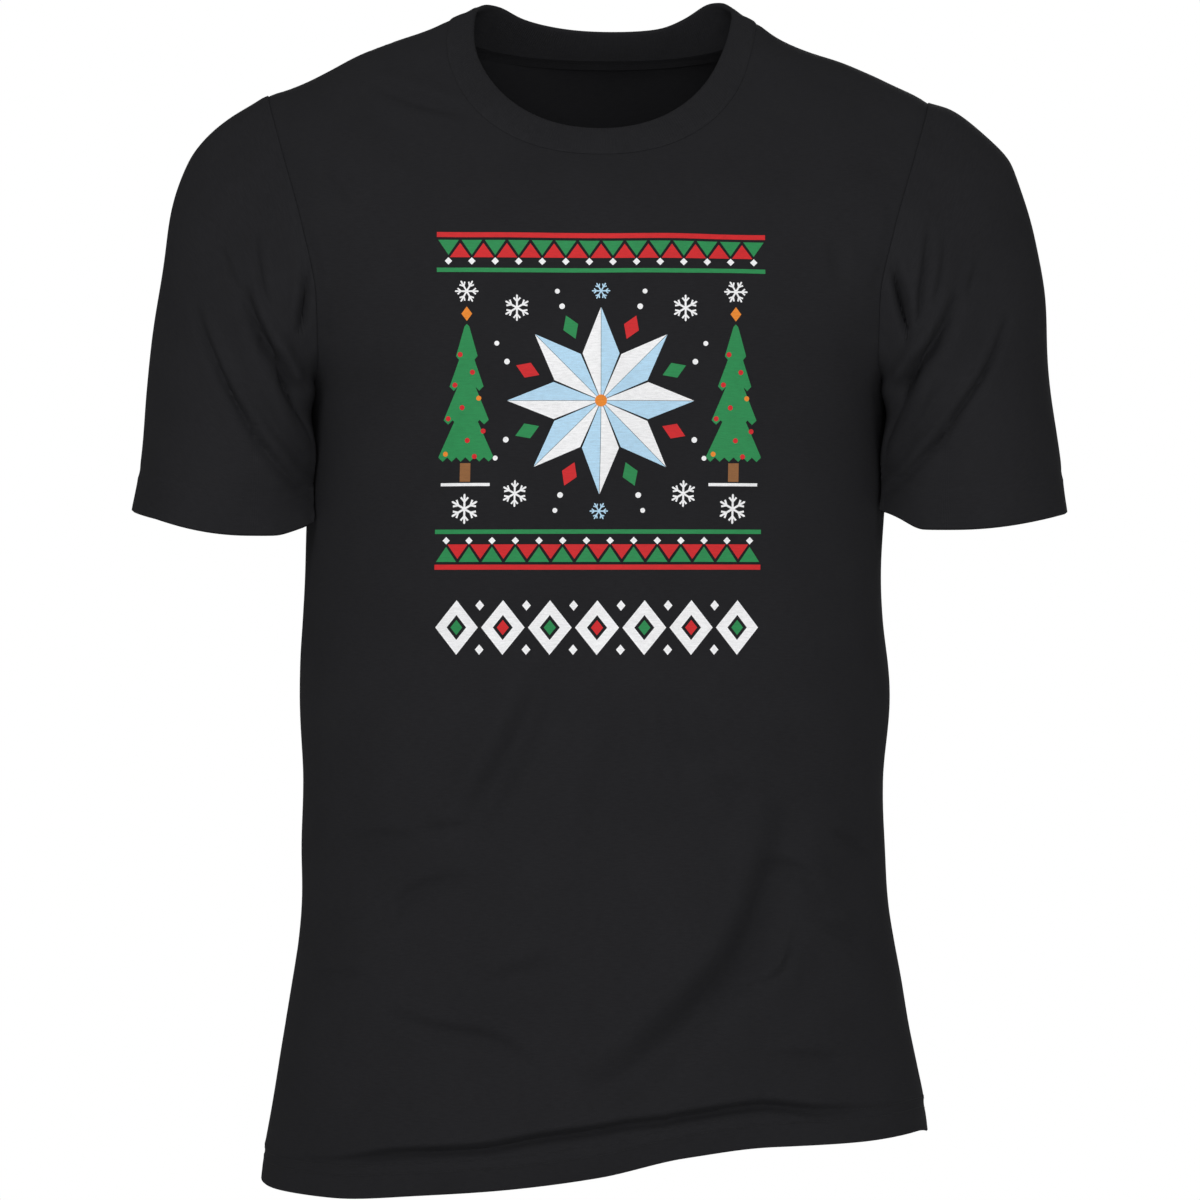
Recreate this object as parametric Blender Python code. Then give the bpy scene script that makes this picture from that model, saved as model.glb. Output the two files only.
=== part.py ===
"""A short-sleeved crew-neck T-shirt in cotton jersey, in the shape that it has on its wearer.

Metres, +Z up. The wearer faces -Y, and +X is on the right of someone looking at the front.
The origin is the middle of the neck opening, level with the top of the shoulders that carry it.
Each panel is cut flat, with its own outline, and then laid on a form: the trunk is a stack of
level, rounded slices, and each sleeve is a tube swept from its armhole to its hem.
"""

import math

import bpy
import numpy as np
from mathutils import Vector
from mathutils.geometry import delaunay_2d_cdt

# Cloth, in metres
JERSEY = 0.0010  # one layer
RIB = 0.0020  # the collar, which is rib folded in two
TAPE = 0.0006  # the tape that covers the neck seam inside
HEM_DEPTH = 0.025  # turned up and doubled, at the bottom
CUFF_DEPTH = 0.020  # turned up and doubled, on the sleeves
SEAM_GAP = 0.0003  # between neighbours along a seam
CELL = 0.024  # side of the triangles that a panel is divided into

# Heights, down from the top of the shoulders
NECK_POINT = -0.0087  # inner end of the shoulder seam
SHOULDER_TIP = -0.0575  # outer end of the shoulder seam
UNDERARM = -0.245
LOWEST = -0.76  # the slices are defined down to here

# The trunk's slices, as (height, size). Above the underarm they reach out under the sleeve's
# cap, so that the shoulder line runs on smoothly into the sleeve.
HALF_WIDTH = [
    (LOWEST, 0.2130), (-0.710, 0.2070), (-0.676, 0.2025), (-0.627, 0.1925), (-0.577, 0.1845),
    (-0.528, 0.1800), (-0.478, 0.1785), (-0.428, 0.1810), (-0.379, 0.1785), (-0.329, 0.1782),
    (-0.280, 0.1784), (UNDERARM, 0.1795), (-0.210, 0.2050), (-0.170, 0.2350), (-0.130, 0.2480),
    (-0.094, 0.2450), (-0.069, 0.2230), (SHOULDER_TIP, 0.2040), (-0.0471, 0.1820), (-0.0396, 0.1675),
    (-0.032, 0.1515), (-0.0248, 0.1310), (-0.0173, 0.1118), (NECK_POINT, 0.0945), (0.0, 0.0740),
]
FRONT_DEPTH = [
    (LOWEST, 0.1190), (-0.710, 0.1180), (-0.620, 0.1160), (-0.500, 0.1160), (-0.400, 0.1180),
    (-0.300, 0.1220), (-0.200, 0.1220), (-0.160, 0.1170), (-0.130, 0.1078), (-0.0994, 0.0890),
    (-0.080, 0.0745), (-0.0526, 0.0540), (-0.030, 0.0380), (NECK_POINT, 0.0220), (0.0, 0.0160),
]
BACK_DEPTH = [
    (LOWEST, 0.1180), (-0.710, 0.1170), (-0.620, 0.1130), (-0.500, 0.1080), (-0.400, 0.1100),
    (-0.300, 0.1200), (-0.200, 0.1270), (-0.140, 0.1220), (-0.090, 0.1050), (-0.060, 0.0890),
    (-0.0242, 0.0625), (NECK_POINT, 0.0420), (0.0, 0.0330),
]
SQUARENESS = [(LOWEST, 2.30), (-0.600, 2.35), (-0.300, 2.45), (-0.180, 2.20), (-0.100, 2.05), (0.0, 2.0)]
# The shirt doesn't hang quite straight. Here is how far the middle of each slice is off X = 0, as
# (height, distance), and by how much of its distance from X = 0 each point of the shoulders drops.
LEAN = [
    (LOWEST, -0.0005), (-0.610, -0.0022), (-0.478, -0.0044), (-0.330, -0.0028), (-0.250, -0.0012),
    (-0.040, -0.0010), (0.0, 0.0028),
]
TILT = [(LOWEST, 0.0), (-0.250, 0.0), (-0.100, 0.0105), (0.0, 0.0105)]

# Half-breadth of the front and the back where they stop at the armhole, as (height, half-breadth)
ARMHOLE = [
    (UNDERARM, 0.1795), (-0.235, 0.1730), (-0.215, 0.1690), (-0.185, 0.1692), (-0.145, 0.1770),
    (-0.100, 0.1905), (SHOULDER_TIP, 0.2040),
]
ARMHOLE_STEPS = 9  # cells along each half of an armhole, from the underarm to the tip
SHOULDER_STEPS = 5  # cells along a shoulder seam
SIDE_STEPS = 19  # cells down a side seam
HEM_STEPS = 10  # cells along half of the front's or back's hem

# The hem's bottom edge, as (share of the way from the middle to a side seam, height)
HEM_FRONT = [
    (-1.0, -0.7235), (-0.83, -0.7240), (-0.62, -0.7220), (-0.41, -0.7192), (-0.20, -0.7155),
    (0.0, -0.7083), (0.20, -0.6985), (0.41, -0.6910), (0.62, -0.6890), (0.83, -0.6895), (1.0, -0.6945),
]
HEM_BACK = [(-1.0, -0.7235), (-0.5, -0.7180), (0.0, -0.7080), (0.5, -0.6985), (1.0, -0.6945)]

# The neck: its seam and the collar's folded top edge, seen from the front
NECK_HALF_WIDTH = 0.0945
NECK_DROP_FRONT = 0.0907  # below the neck points
NECK_DROP_BACK = 0.0155
NECK_ROUND = 2.25  # 2 is an ellipse, and more is squarer
NECK_STEPS = 10  # cells along a quarter of the neck
COLLAR_HALF_WIDTH = 0.0801
COLLAR_ROUND = 2.15
COLLAR_FRONT_Y = -0.0765
COLLAR_BACK_Y = 0.0550
COLLAR_SIDE_TOP = 0.0010
COLLAR_FRONT_TOP = -0.0831
# The collar's top edge behind the shoulder line, as (degrees from the side, height)
COLLAR_BACK_TOP = [(0, 0.0010), (25, 0.0052), (50, 0.0010), (80, -0.0070), (90, -0.0076)]
COLLAR_ROWS = 3
TAPE_ABOVE = 0.0045  # of the seam, up the collar
TAPE_BELOW = 0.0060  # of the seam, down the back

# The sleeve's hem, for the sleeve on the +X side. The other one is its mirror image, but for what is
# given here by whether it is mirrored.
CUFF_X = {False: 0.2304, True: 0.2256}
CUFF_Y = -0.0080
CUFF_Z = -0.3140
CUFF_HALF_WIDTH = 0.0595
CUFF_HALF_DEPTH = 0.0620
CUFF_ROUND_OUT, CUFF_ROUND_IN = 2.2, 3.0  # rounder outside, and flatter beside the trunk
CUFF_TURN = -0.25  # radians about Z, which brings its front nearer to the trunk
CUFF_OUTER_RISE = {False: 0.0000, True: 0.0012}  # higher outside than inside
CUFF_FRONT_DROP = 0.0040
CUFF_SAG = {False: 0.0065, True: 0.0100}
CUFF_INNER_RISE = {False: 0.0085, True: 0.0055}  # where the hem rides up on the trunk
SLEEVE_ROWS = 8
SLEEVE_CLEAR = 0.0026  # the least gap from the sleeve to the trunk beside it
SLEEVE_SNUG = 0.011  # cloth nearer than this to the trunk hangs against it
# The way that the cloth leaves the armhole and comes to the hem, and how far each holds, at the top, the
# front or back and the underarm
LEAVE = [(0.930, 0.0, -0.369), (0.80, 0.0, -0.60), (0.90, 0.0, -0.43)]
LEAVE_REACH = [0.092, 0.060, 0.014]
ARRIVE = [(-0.193, 0.0, 0.981), (-0.11, 0.0, 0.994), (-0.03, 0.0, 1.0)]
ARRIVE_REACH = [0.120, 0.065, 0.022]

BLACK = (0.0176, 0.0176, 0.0194)


def through(table, at):
    """The value at one or more places of a smooth curve through the table's points, without overshoot."""
    place, value = (np.array(column, float) for column in zip(*table))
    width = np.diff(place)
    slope = np.diff(value) / width
    same_way = slope[:-1] * slope[1:] > 0
    both = np.where(same_way, slope[:-1] + slope[1:], 1.0)
    inner = np.where(same_way, 2 * slope[:-1] * slope[1:] / both, 0.0)
    tangent = np.concatenate([slope[:1], inner, slope[-1:]])
    at = np.clip(at, place[0], place[-1])
    i = np.clip(np.searchsorted(place, at) - 1, 0, len(width) - 1)
    t = (at - place[i]) / width[i]
    return (
        value[i] * (1 + 2 * t) * (1 - t) ** 2
        + value[i + 1] * t * t * (3 - 2 * t)
        + width[i] * (tangent[i] * t * (1 - t) ** 2 - tangent[i + 1] * t * t * (1 - t))
    )


def unit(vectors):
    return vectors / np.linalg.norm(vectors, axis=-1, keepdims=True)


# The trunk's form


def slice_sizes(side, z):
    """Half-width, depth and squareness of the slices at heights z. side is -1 for the front and 1 for the back."""
    depth = through(FRONT_DEPTH if side < 0 else BACK_DEPTH, z)
    return through(HALF_WIDTH, z), depth, through(SQUARENESS, z)


def quarter(side, z):
    """For each height, points along the slice from the middle of that side out to X's end, and the way along it."""
    half_width, depth, power = (s[:, None] for s in slice_sizes(side, np.atleast_1d(z)))
    turn = np.linspace(0, math.pi / 2, 181)[None, :]
    x = half_width * np.sin(turn) ** (2 / power)
    y = side * depth * np.cos(turn) ** (2 / power)
    way = np.cumsum(np.hypot(np.diff(x), np.diff(y)), axis=1)
    return x, y, np.concatenate([np.zeros((len(way), 1)), way], axis=1)


def read(keys, values, at):
    """Row by row, the value that goes with at, between the neighbouring keys."""
    i = np.clip((keys < at[:, None]).sum(1), 1, keys.shape[1] - 1)
    row = np.arange(len(at))
    low, high = keys[row, i - 1], keys[row, i]
    share = np.clip((at - low) / np.maximum(high - low, 1e-12), 0, 1)
    return values[row, i - 1] * (1 - share) + values[row, i] * share


def on_trunk(side, across, z):
    """Points of the trunk that are a length across the cloth from the middle, at heights z, before the lean."""
    x, y, way = quarter(side, z)
    across, z = np.broadcast_arrays(np.asarray(across, float), z)
    return np.stack([np.sign(across) * read(way, x, abs(across)), read(way, y, abs(across)), z], axis=1)


def across_at(side, x, z):
    """The length across the cloth, from the middle, at which the slice at height z reaches x."""
    xs, _, way = quarter(side, z)
    return read(xs, way, np.minimum(abs(np.atleast_1d(x)), xs[:, -1]))


def trunk_normals(side, points):
    """Outward directions of the trunk at points on it, from the slope of its level function."""

    def level(x, y, z):
        half_width, depth, power = slice_sizes(side, z)
        return (abs(x) / half_width) ** power + (abs(y) / depth) ** power

    step = 1e-5
    steps = np.eye(3) * step
    rise = [level(*(points + s).T) - level(*(points - s).T) for s in steps]
    return unit(np.stack(rise, axis=1))


# The way down the cloth is longer than the drop in height where the shoulder lies flat.
HEIGHTS = np.linspace(LOWEST, 0, 800)
FLATNESS = 1 + 0.9 / (1 + np.exp(-(HEIGHTS + 0.09) / 0.012))
DOWN = np.concatenate([[0], np.cumsum(np.diff(HEIGHTS) * FLATNESS[1:])]) + LOWEST


def down_from_height(z):
    return np.interp(z, HEIGHTS, DOWN)


def height_from_down(down):
    return np.interp(down, DOWN, HEIGHTS)


def hung(points):
    """The points where the shirt's crooked hang takes them."""
    moved = points.copy()
    moved[:, 0] += through(LEAN, points[:, 2])
    moved[:, 2] -= through(TILT, points[:, 2]) * points[:, 0]
    return moved


# The lines along which the panels meet


def armhole_line(side, steps=ARMHOLE_STEPS):
    """Points from the underarm up to the shoulder tip on the +X side, evenly spaced along the front's or back's half."""
    turn = np.linspace(0, math.pi, 400)
    z = UNDERARM + (SHOULDER_TIP - UNDERARM) * (1 - np.cos(turn)) / 2
    x = through(ARMHOLE, z)
    line = on_trunk(side, across_at(side, x, z), z)
    line[[0, -1], 1] = 0
    way = np.concatenate([[0], np.cumsum(np.linalg.norm(np.diff(line, axis=0), axis=1))])
    even = np.linspace(0, way[-1], steps + 1)
    return np.stack([np.interp(even, way, line[:, k]) for k in range(3)], axis=1)


def neck_line(side, steps=NECK_STEPS):
    """Points of the neck seam from the neck point on the +X side to the one on the other side."""
    turn = np.linspace(0, math.pi, 2 * steps + 1)
    x = NECK_HALF_WIDTH * np.sign(np.cos(turn)) * abs(np.cos(turn)) ** (2 / NECK_ROUND)
    drop = NECK_DROP_FRONT if side < 0 else NECK_DROP_BACK
    z = NECK_POINT - drop * np.sin(turn) ** (2 / NECK_ROUND)
    line = on_trunk(side, np.sign(x) * across_at(side, x, z), z)
    line[[0, -1]] = [[NECK_HALF_WIDTH, 0, NECK_POINT], [-NECK_HALF_WIDTH, 0, NECK_POINT]]
    return line


def neck_ring():
    """The whole neck seam, from the +X side over the front, to the -X side and back over the back."""
    return np.concatenate([neck_line(-1)[:-1], neck_line(1)[::-1][:-1]])


def collar_ring():
    """The collar's folded top edge, point for point with the neck seam."""
    turn = np.arange(4 * NECK_STEPS) * math.pi / (2 * NECK_STEPS)
    front = turn < math.pi
    x = COLLAR_HALF_WIDTH * np.sign(np.cos(turn)) * abs(np.cos(turn)) ** (2 / COLLAR_ROUND)
    out = abs(np.sin(turn)) ** (2 / COLLAR_ROUND)
    y = np.where(front, COLLAR_FRONT_Y * out, COLLAR_BACK_Y * out)
    front_top = COLLAR_SIDE_TOP + (COLLAR_FRONT_TOP - COLLAR_SIDE_TOP) * out
    off_side = np.degrees(np.arccos(np.clip(abs(np.cos(turn)), 0, 1)))
    z = np.where(front, front_top, through(COLLAR_BACK_TOP, off_side))
    return np.stack([x, y, z], axis=1)


def hem_line(side, steps):
    """Points of the bottom edge from the +X side seam to the other one."""
    share = np.linspace(-1, 1, 2 * steps + 1)[::-1]
    z = through(HEM_FRONT if side < 0 else HEM_BACK, share)
    end = across_at(side, 1.0, z)
    return share * end, z


# The sleeves' form


def by_turn(turn, values):
    """Goes from the first value, at turn 0, over the second to the third, at half a turn."""
    high = np.maximum(np.cos(turn), 0)[:, None] ** 2
    low = np.maximum(-np.cos(turn), 0)[:, None] ** 2
    flank = np.sin(turn)[:, None] ** 2
    top, at_side, under = (np.array(v) for v in values)
    return high * top + flank * at_side + low * under


def sleeve_turns():
    """Turns of the sleeve's lengthwise lines: 0 at the shoulder tip, then the front, the underarm and the back."""
    return np.arange(2 * ARMHOLE_STEPS) * math.pi / ARMHOLE_STEPS


def armhole_ring():
    """The whole armhole on the +X side, in the order of sleeve_turns."""
    return np.concatenate([armhole_line(-1)[::-1][:-1], armhole_line(1)[:-1]])


def on_sleeve(ring, turn, share, mirrored):
    """Points of the sleeve at shares of the way from the armhole, 0, to the hem, 1, on the lines that start at ring."""
    c, s = np.cos(turn), np.sin(turn)
    power = 2 / np.where(c > 0, CUFF_ROUND_OUT, CUFF_ROUND_IN)
    wide = CUFF_HALF_WIDTH * np.sign(c) * abs(c) ** power
    deep = -CUFF_HALF_DEPTH * np.sign(s) * abs(s) ** power
    beside = np.clip((np.minimum(turn, 2 * math.pi - turn) - 1.72) / 0.40, 0, 1)
    low = CUFF_OUTER_RISE[mirrored] * c - CUFF_FRONT_DROP * s - CUFF_SAG[mirrored] * s**2
    low += CUFF_INNER_RISE[mirrored] * beside**2 * (3 - 2 * beside)
    x = wide * math.cos(CUFF_TURN) - deep * math.sin(CUFF_TURN)
    y = wide * math.sin(CUFF_TURN) + deep * math.cos(CUFF_TURN)
    cuff = np.stack([CUFF_X[mirrored] + x, CUFF_Y + y, CUFF_Z + low], axis=1)
    first = ring + unit(by_turn(turn, LEAVE)) * by_turn(turn, LEAVE_REACH)
    second = cuff + unit(by_turn(turn, ARRIVE)) * by_turn(turn, ARRIVE_REACH)
    t = np.broadcast_to(share, len(ring))[:, None]
    path = (1 - t) ** 3 * ring + 3 * t * (1 - t) ** 2 * first + 3 * t * t * (1 - t) * second + t**3 * cuff
    return beside_trunk(path, np.minimum(t[:, 0] * SLEEVE_ROWS, 1))


def beside_trunk(points, share):
    """The points on the +X side, moved out or in by a share of the way that brings them close beside the trunk."""
    moved = points.copy()
    for side in (-1, 1):
        half_width, depth, power = slice_sizes(side, points[:, 2])
        half_width = np.minimum(half_width, dict(HALF_WIDTH)[UNDERARM])
        reach = np.clip(side * points[:, 1] / depth, 0, 1)
        limit = half_width * (1 - reach**power) ** (1 / power) + SLEEVE_CLEAR * share
        gap = np.maximum(moved[:, 0] - limit, 0)
        gap *= 1 - 0.95 * share * np.exp(-((gap / SLEEVE_SNUG) ** 2))
        here = (side * points[:, 1] >= 0) & (reach < 1)
        moved[:, 0] = np.where(here, limit + gap, moved[:, 0])
    return moved


def sleeve_normals(ring, turn, share, mirrored=False):
    row = on_sleeve(ring, turn, share, mirrored)
    along = on_sleeve(ring, turn, share + 1e-3, mirrored) - row
    around = np.roll(row, -1, axis=0) - np.roll(row, 1, axis=0)
    return unit(np.cross(around, along))


# Making solids


def shell(name, outer, normals, triangles, thickness):
    """A closed sheet of cloth: the outer points, the same points in by the thickness, and a rim round every edge."""
    count = len(outer)
    corners = outer[triangles]
    facing = np.cross(corners[:, 1] - corners[:, 0], corners[:, 2] - corners[:, 0])
    inward = (facing * normals[triangles].sum(1)).sum(1) < 0
    triangles = np.where(inward[:, None], triangles[:, ::-1], triangles)
    inner = outer - normals * np.broadcast_to(thickness, count)[:, None]
    edges = {(int(t[i]), int(t[(i + 1) % 3])) for t in triangles for i in range(3)}
    rim = [(b, a, a + count, b + count) for a, b in edges if (b, a) not in edges]
    faces = [tuple(t) for t in triangles.tolist()]
    faces += [tuple(c + count for c in t[::-1]) for t in triangles.tolist()]
    mesh = bpy.data.meshes.new(name)
    mesh.from_pydata(np.concatenate([outer, inner]).tolist(), [], faces + rim)
    mesh.shade_smooth()
    mesh.set_sharp_from_angle(angle=math.radians(50))
    piece = bpy.data.objects.new(name, mesh)
    bpy.context.scene.collection.objects.link(piece)
    return piece


def strip_triangles(rows, columns, closed):
    """Triangles of a grid of points in rows, each row joined to itself at its ends if closed."""
    around = columns if closed else columns - 1
    found = []
    for r in range(rows - 1):
        for c in range(around):
            a, b = r * columns + c, r * columns + (c + 1) % columns
            found += [(a, b, b + columns), (a, b + columns, a + columns)]
    return np.array(found)


def inside(outline, points):
    """Which points are inside the outline, and how far each is from it."""
    a, b = outline, np.roll(outline, -1, axis=0)
    p = points[:, None, :]
    span = b - a
    crosses = (a[:, 1] > p[..., 1]) != (b[:, 1] > p[..., 1])
    rise = np.where(span[:, 1] == 0, 1e-12, span[:, 1])
    left = p[..., 0] < a[:, 0] + span[:, 0] * (p[..., 1] - a[:, 1]) / rise
    share = np.clip(((p - a) * span).sum(-1) / (span**2).sum(-1), 0, 1)
    near = np.linalg.norm(a + share[..., None] * span - p, axis=-1).min(1)
    return (crosses & left).sum(1) % 2 == 1, near


def cut_panel(outline, cell):
    """Divides a flat outline into triangles about as large as cell. The outline's points come first."""
    low, high = outline.min(0), outline.max(0)
    row_height = cell * math.sqrt(3) / 2
    points = []
    for r, down in enumerate(np.arange(low[1], high[1], row_height)):
        across = np.arange(0, high[0] - low[0], cell) + cell / 2 * (r % 2)
        middle = across - (high[0] - low[0]) / 2
        points += [(x, down) for x in middle]
    points = np.array(points)
    within, near = inside(outline, points)
    points = np.concatenate([outline, points[within & (near > 0.62 * cell)]])
    count = len(outline)
    edges = [(i, (i + 1) % count) for i in range(count)]
    flat = [Vector(p) for p in points.tolist()]
    found, _, triangles, *_ = delaunay_2d_cdt(flat, edges, [], 1, 1e-9)
    return np.array([tuple(p) for p in found]), np.array(triangles)


def drawn_in(outline, by):
    """The outline's points moved in by a little, so that neighbours don't touch."""
    ahead = np.roll(outline, -1, axis=0) - outline
    behind = outline - np.roll(outline, 1, axis=0)
    way = unit(ahead) + unit(behind)
    side = unit(np.stack([-way[:, 1], way[:, 0]], axis=1))
    x, y = outline.T
    turning = np.sign((x * np.roll(y, -1) - np.roll(x, -1) * y).sum())
    return outline + turning * by * side


def body_panel(name, side):
    """The front, with side -1, or the back, with side 1."""
    seam_z = np.linspace(SHOULDER_TIP, NECK_POINT, SHOULDER_STEPS + 1)
    hem_across, hem_z = hem_line(side, HEM_STEPS)

    def flat(x, z):
        return np.stack([across_at(side, x, z), down_from_height(z)], axis=1)

    # Round the outline, as (points, which kind of edge), up the +X half from the hem to the neck.
    rising = []
    for end, mirrored in ((0, 1), (-1, -1)):
        side_z = np.linspace(hem_z[end], UNDERARM, SIDE_STEPS + 1)
        arm = armhole_line(side)
        pieces = [
            flat(np.ones(SIDE_STEPS), side_z[:-1]),
            np.stack([across_at(side, arm[:-1, 0], arm[:-1, 2]), down_from_height(arm[:-1, 2])], axis=1),
            flat(np.ones(len(seam_z) - 1), seam_z[:-1]),
        ]
        rising.append(np.concatenate(pieces) * [mirrored, 1])
    neck = neck_line(side)
    neck_flat = np.stack(
        [np.sign(neck[:, 0]) * across_at(side, neck[:, 0], neck[:, 2]), down_from_height(neck[:, 2])], axis=1
    )
    hem_flat = np.stack([hem_across, down_from_height(hem_z)], axis=1)
    outline = np.concatenate([rising[0], neck_flat, rising[1][::-1], hem_flat[::-1][1:-1]])
    flat_points, triangles = cut_panel(drawn_in(outline, SEAM_GAP / 2), CELL)

    z = height_from_down(flat_points[:, 1])
    points = on_trunk(side, flat_points[:, 0], z)
    normals = trunk_normals(side, points)
    # Along the armholes and the neck, the seam's own direction, which the neighbour shares.
    up, turn_ring = armhole_ring(), sleeve_turns()
    shared = unit(trunk_normals(-1, up) + sleeve_normals(up, turn_ring, 0.0))
    shared_neck = neck_normals()
    ring = neck_ring()
    for i in range(len(outline)):
        place = points[i] * [1 if points[i, 0] >= 0 else -1, 1, 1]
        if np.linalg.norm(up - place, axis=1).min() < 4 * SEAM_GAP:
            nearest = np.linalg.norm(up - place, axis=1).argmin()
            normals[i] = shared[nearest] * [1 if points[i, 0] >= 0 else -1, 1, 1]
        elif np.linalg.norm(ring - points[i], axis=1).min() < 4 * SEAM_GAP:
            normals[i] = shared_neck[np.linalg.norm(ring - points[i], axis=1).argmin()]
    above_hem = z - np.interp(flat_points[:, 0], hem_across[::-1], hem_z[::-1])
    thickness = np.where(above_hem < HEM_DEPTH, 2 * JERSEY, JERSEY)
    return shell(name, hung(points), normals, triangles, thickness)


def neck_normals():
    """The neck seam's direction: between those of the collar and of the trunk."""
    ring, top = neck_ring(), collar_ring()
    around = np.roll(ring, -1, axis=0) - np.roll(ring, 1, axis=0)
    collar = unit(np.cross(top - ring, around))
    side = np.where(np.arange(len(ring)) <= 2 * NECK_STEPS, -1, 1)
    trunk = np.where((side < 0)[:, None], trunk_normals(-1, ring), trunk_normals(1, ring))
    collar *= np.sign((collar * trunk).sum(1))[:, None]
    return unit(collar + trunk)


def sleeve(name, mirrored):
    """The sleeve on the +X side, or its mirror image."""
    ring, turn = armhole_ring(), sleeve_turns()
    shared = unit(trunk_normals(-1, ring) + sleeve_normals(ring, turn, 0.0))
    start = SEAM_GAP / 2 / 0.1
    shares = np.concatenate([[start], np.arange(1, SLEEVE_ROWS + 1) / SLEEVE_ROWS])
    rows = [on_sleeve(ring, turn, s, mirrored) for s in shares]
    normals = [shared] + [sleeve_normals(ring, turn, min(s, 0.999), mirrored) for s in shares[1:]]
    thickness = []
    for row in rows:
        thickness += np.where(np.linalg.norm(row - rows[-1], axis=1) < CUFF_DEPTH, 2 * JERSEY, JERSEY).tolist()
    flip = np.array([-1 if mirrored else 1, 1, 1])
    points = hung(np.concatenate(rows) * flip)
    triangles = strip_triangles(len(rows), len(ring), True)
    return shell(name, points, np.concatenate(normals) * flip, triangles, np.array(thickness))


def collar():
    """The rib band that stands on the neck seam."""
    ring, top = neck_ring(), collar_ring()
    seam = neck_normals()
    around = np.roll(ring, -1, axis=0) - np.roll(ring, 1, axis=0)
    own = unit(np.cross(top - ring, around))
    own *= np.sign((own * seam).sum(1))[:, None]
    start = SEAM_GAP / 2 / np.linalg.norm(top - ring, axis=1)[:, None]
    shares = np.linspace(0, 1, COLLAR_ROWS + 1)
    rows = [ring + (top - ring) * np.maximum(s, start) for s in shares]
    normals = [unit(seam * (1 - s) + own * s) for s in shares]
    triangles = strip_triangles(len(rows), len(ring), True)
    thickness = np.full(len(ring) * len(rows), RIB)
    return shell("collar", hung(np.concatenate(rows)), np.concatenate(normals), triangles, thickness)


def neck_tape():
    """The narrow tape inside that covers the neck seam along the back, from shoulder to shoulder."""
    ring, top, seam = neck_ring(), collar_ring(), neck_normals()
    back = np.arange(2 * NECK_STEPS + 1, 4 * NECK_STEPS)
    up = unit(top - ring)[back]
    down = unit(np.cross(seam, np.roll(ring, -1, axis=0) - np.roll(ring, 1, axis=0)))[back]
    down *= -np.sign((down * up).sum(1))[:, None]
    clear = RIB + SEAM_GAP
    base = ring[back] - seam[back] * clear
    below = ring[back] + down * TAPE_BELOW
    below_normals = trunk_normals(1, below)
    half_width, depth, power = slice_sizes(1, below[:, 2])
    scale = ((abs(below[:, 0]) / half_width) ** power + (below[:, 1] / depth) ** power) ** (-1 / power)
    below[:, :2] *= scale[:, None]
    rows = [below - below_normals * clear, base, base + up * TAPE_ABOVE]
    normals = [below_normals, seam[back], seam[back]]
    triangles = strip_triangles(3, len(back), False)
    return shell("neck_tape", hung(np.concatenate(rows)), np.concatenate(normals), triangles, TAPE)


def black_cotton(name, roughness):
    material = bpy.data.materials.new(name)
    material.use_nodes = True
    surface = material.node_tree.nodes["Principled BSDF"]
    surface.inputs["Base Color"].default_value = (*BLACK, 1)
    surface.inputs["Roughness"].default_value = roughness
    surface.inputs["Metallic"].default_value = 0.0
    return material


def main():
    for old in list(bpy.data.objects):
        bpy.data.objects.remove(old)
    shirt = bpy.data.objects.new("shirt", None)
    bpy.context.scene.collection.objects.link(shirt)
    jersey = black_cotton("jersey", 0.9)
    rib = black_cotton("rib", 0.88)
    twill = black_cotton("twill", 0.85)
    pieces = [
        (body_panel("front_panel", -1), jersey),
        (body_panel("back_panel", 1), jersey),
        (sleeve("sleeve_right_side", False), jersey),
        (sleeve("sleeve_left_side", True), jersey),
        (collar(), rib),
        (neck_tape(), twill),
    ]
    for piece, material in pieces:
        piece.data.materials.append(material)
        piece.parent = shirt


main()
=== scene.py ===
import math

import bmesh
import bpy
import numpy as np
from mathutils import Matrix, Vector
from mathutils.geometry import delaunay_2d_cdt
from mathutils.kdtree import KDTree


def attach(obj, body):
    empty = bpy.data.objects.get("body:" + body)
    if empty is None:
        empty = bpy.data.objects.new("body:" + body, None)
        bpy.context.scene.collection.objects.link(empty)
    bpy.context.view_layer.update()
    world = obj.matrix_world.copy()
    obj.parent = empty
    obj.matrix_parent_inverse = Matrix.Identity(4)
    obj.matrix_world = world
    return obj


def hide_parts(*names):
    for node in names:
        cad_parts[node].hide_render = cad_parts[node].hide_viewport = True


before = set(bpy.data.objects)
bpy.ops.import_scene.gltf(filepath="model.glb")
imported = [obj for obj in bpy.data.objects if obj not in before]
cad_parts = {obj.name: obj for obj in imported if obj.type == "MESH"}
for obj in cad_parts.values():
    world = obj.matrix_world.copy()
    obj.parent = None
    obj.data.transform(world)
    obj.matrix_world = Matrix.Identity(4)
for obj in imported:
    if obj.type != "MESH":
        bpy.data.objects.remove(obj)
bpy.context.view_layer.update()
bpy.ops.object.select_all(action="DESELECT")

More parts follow.
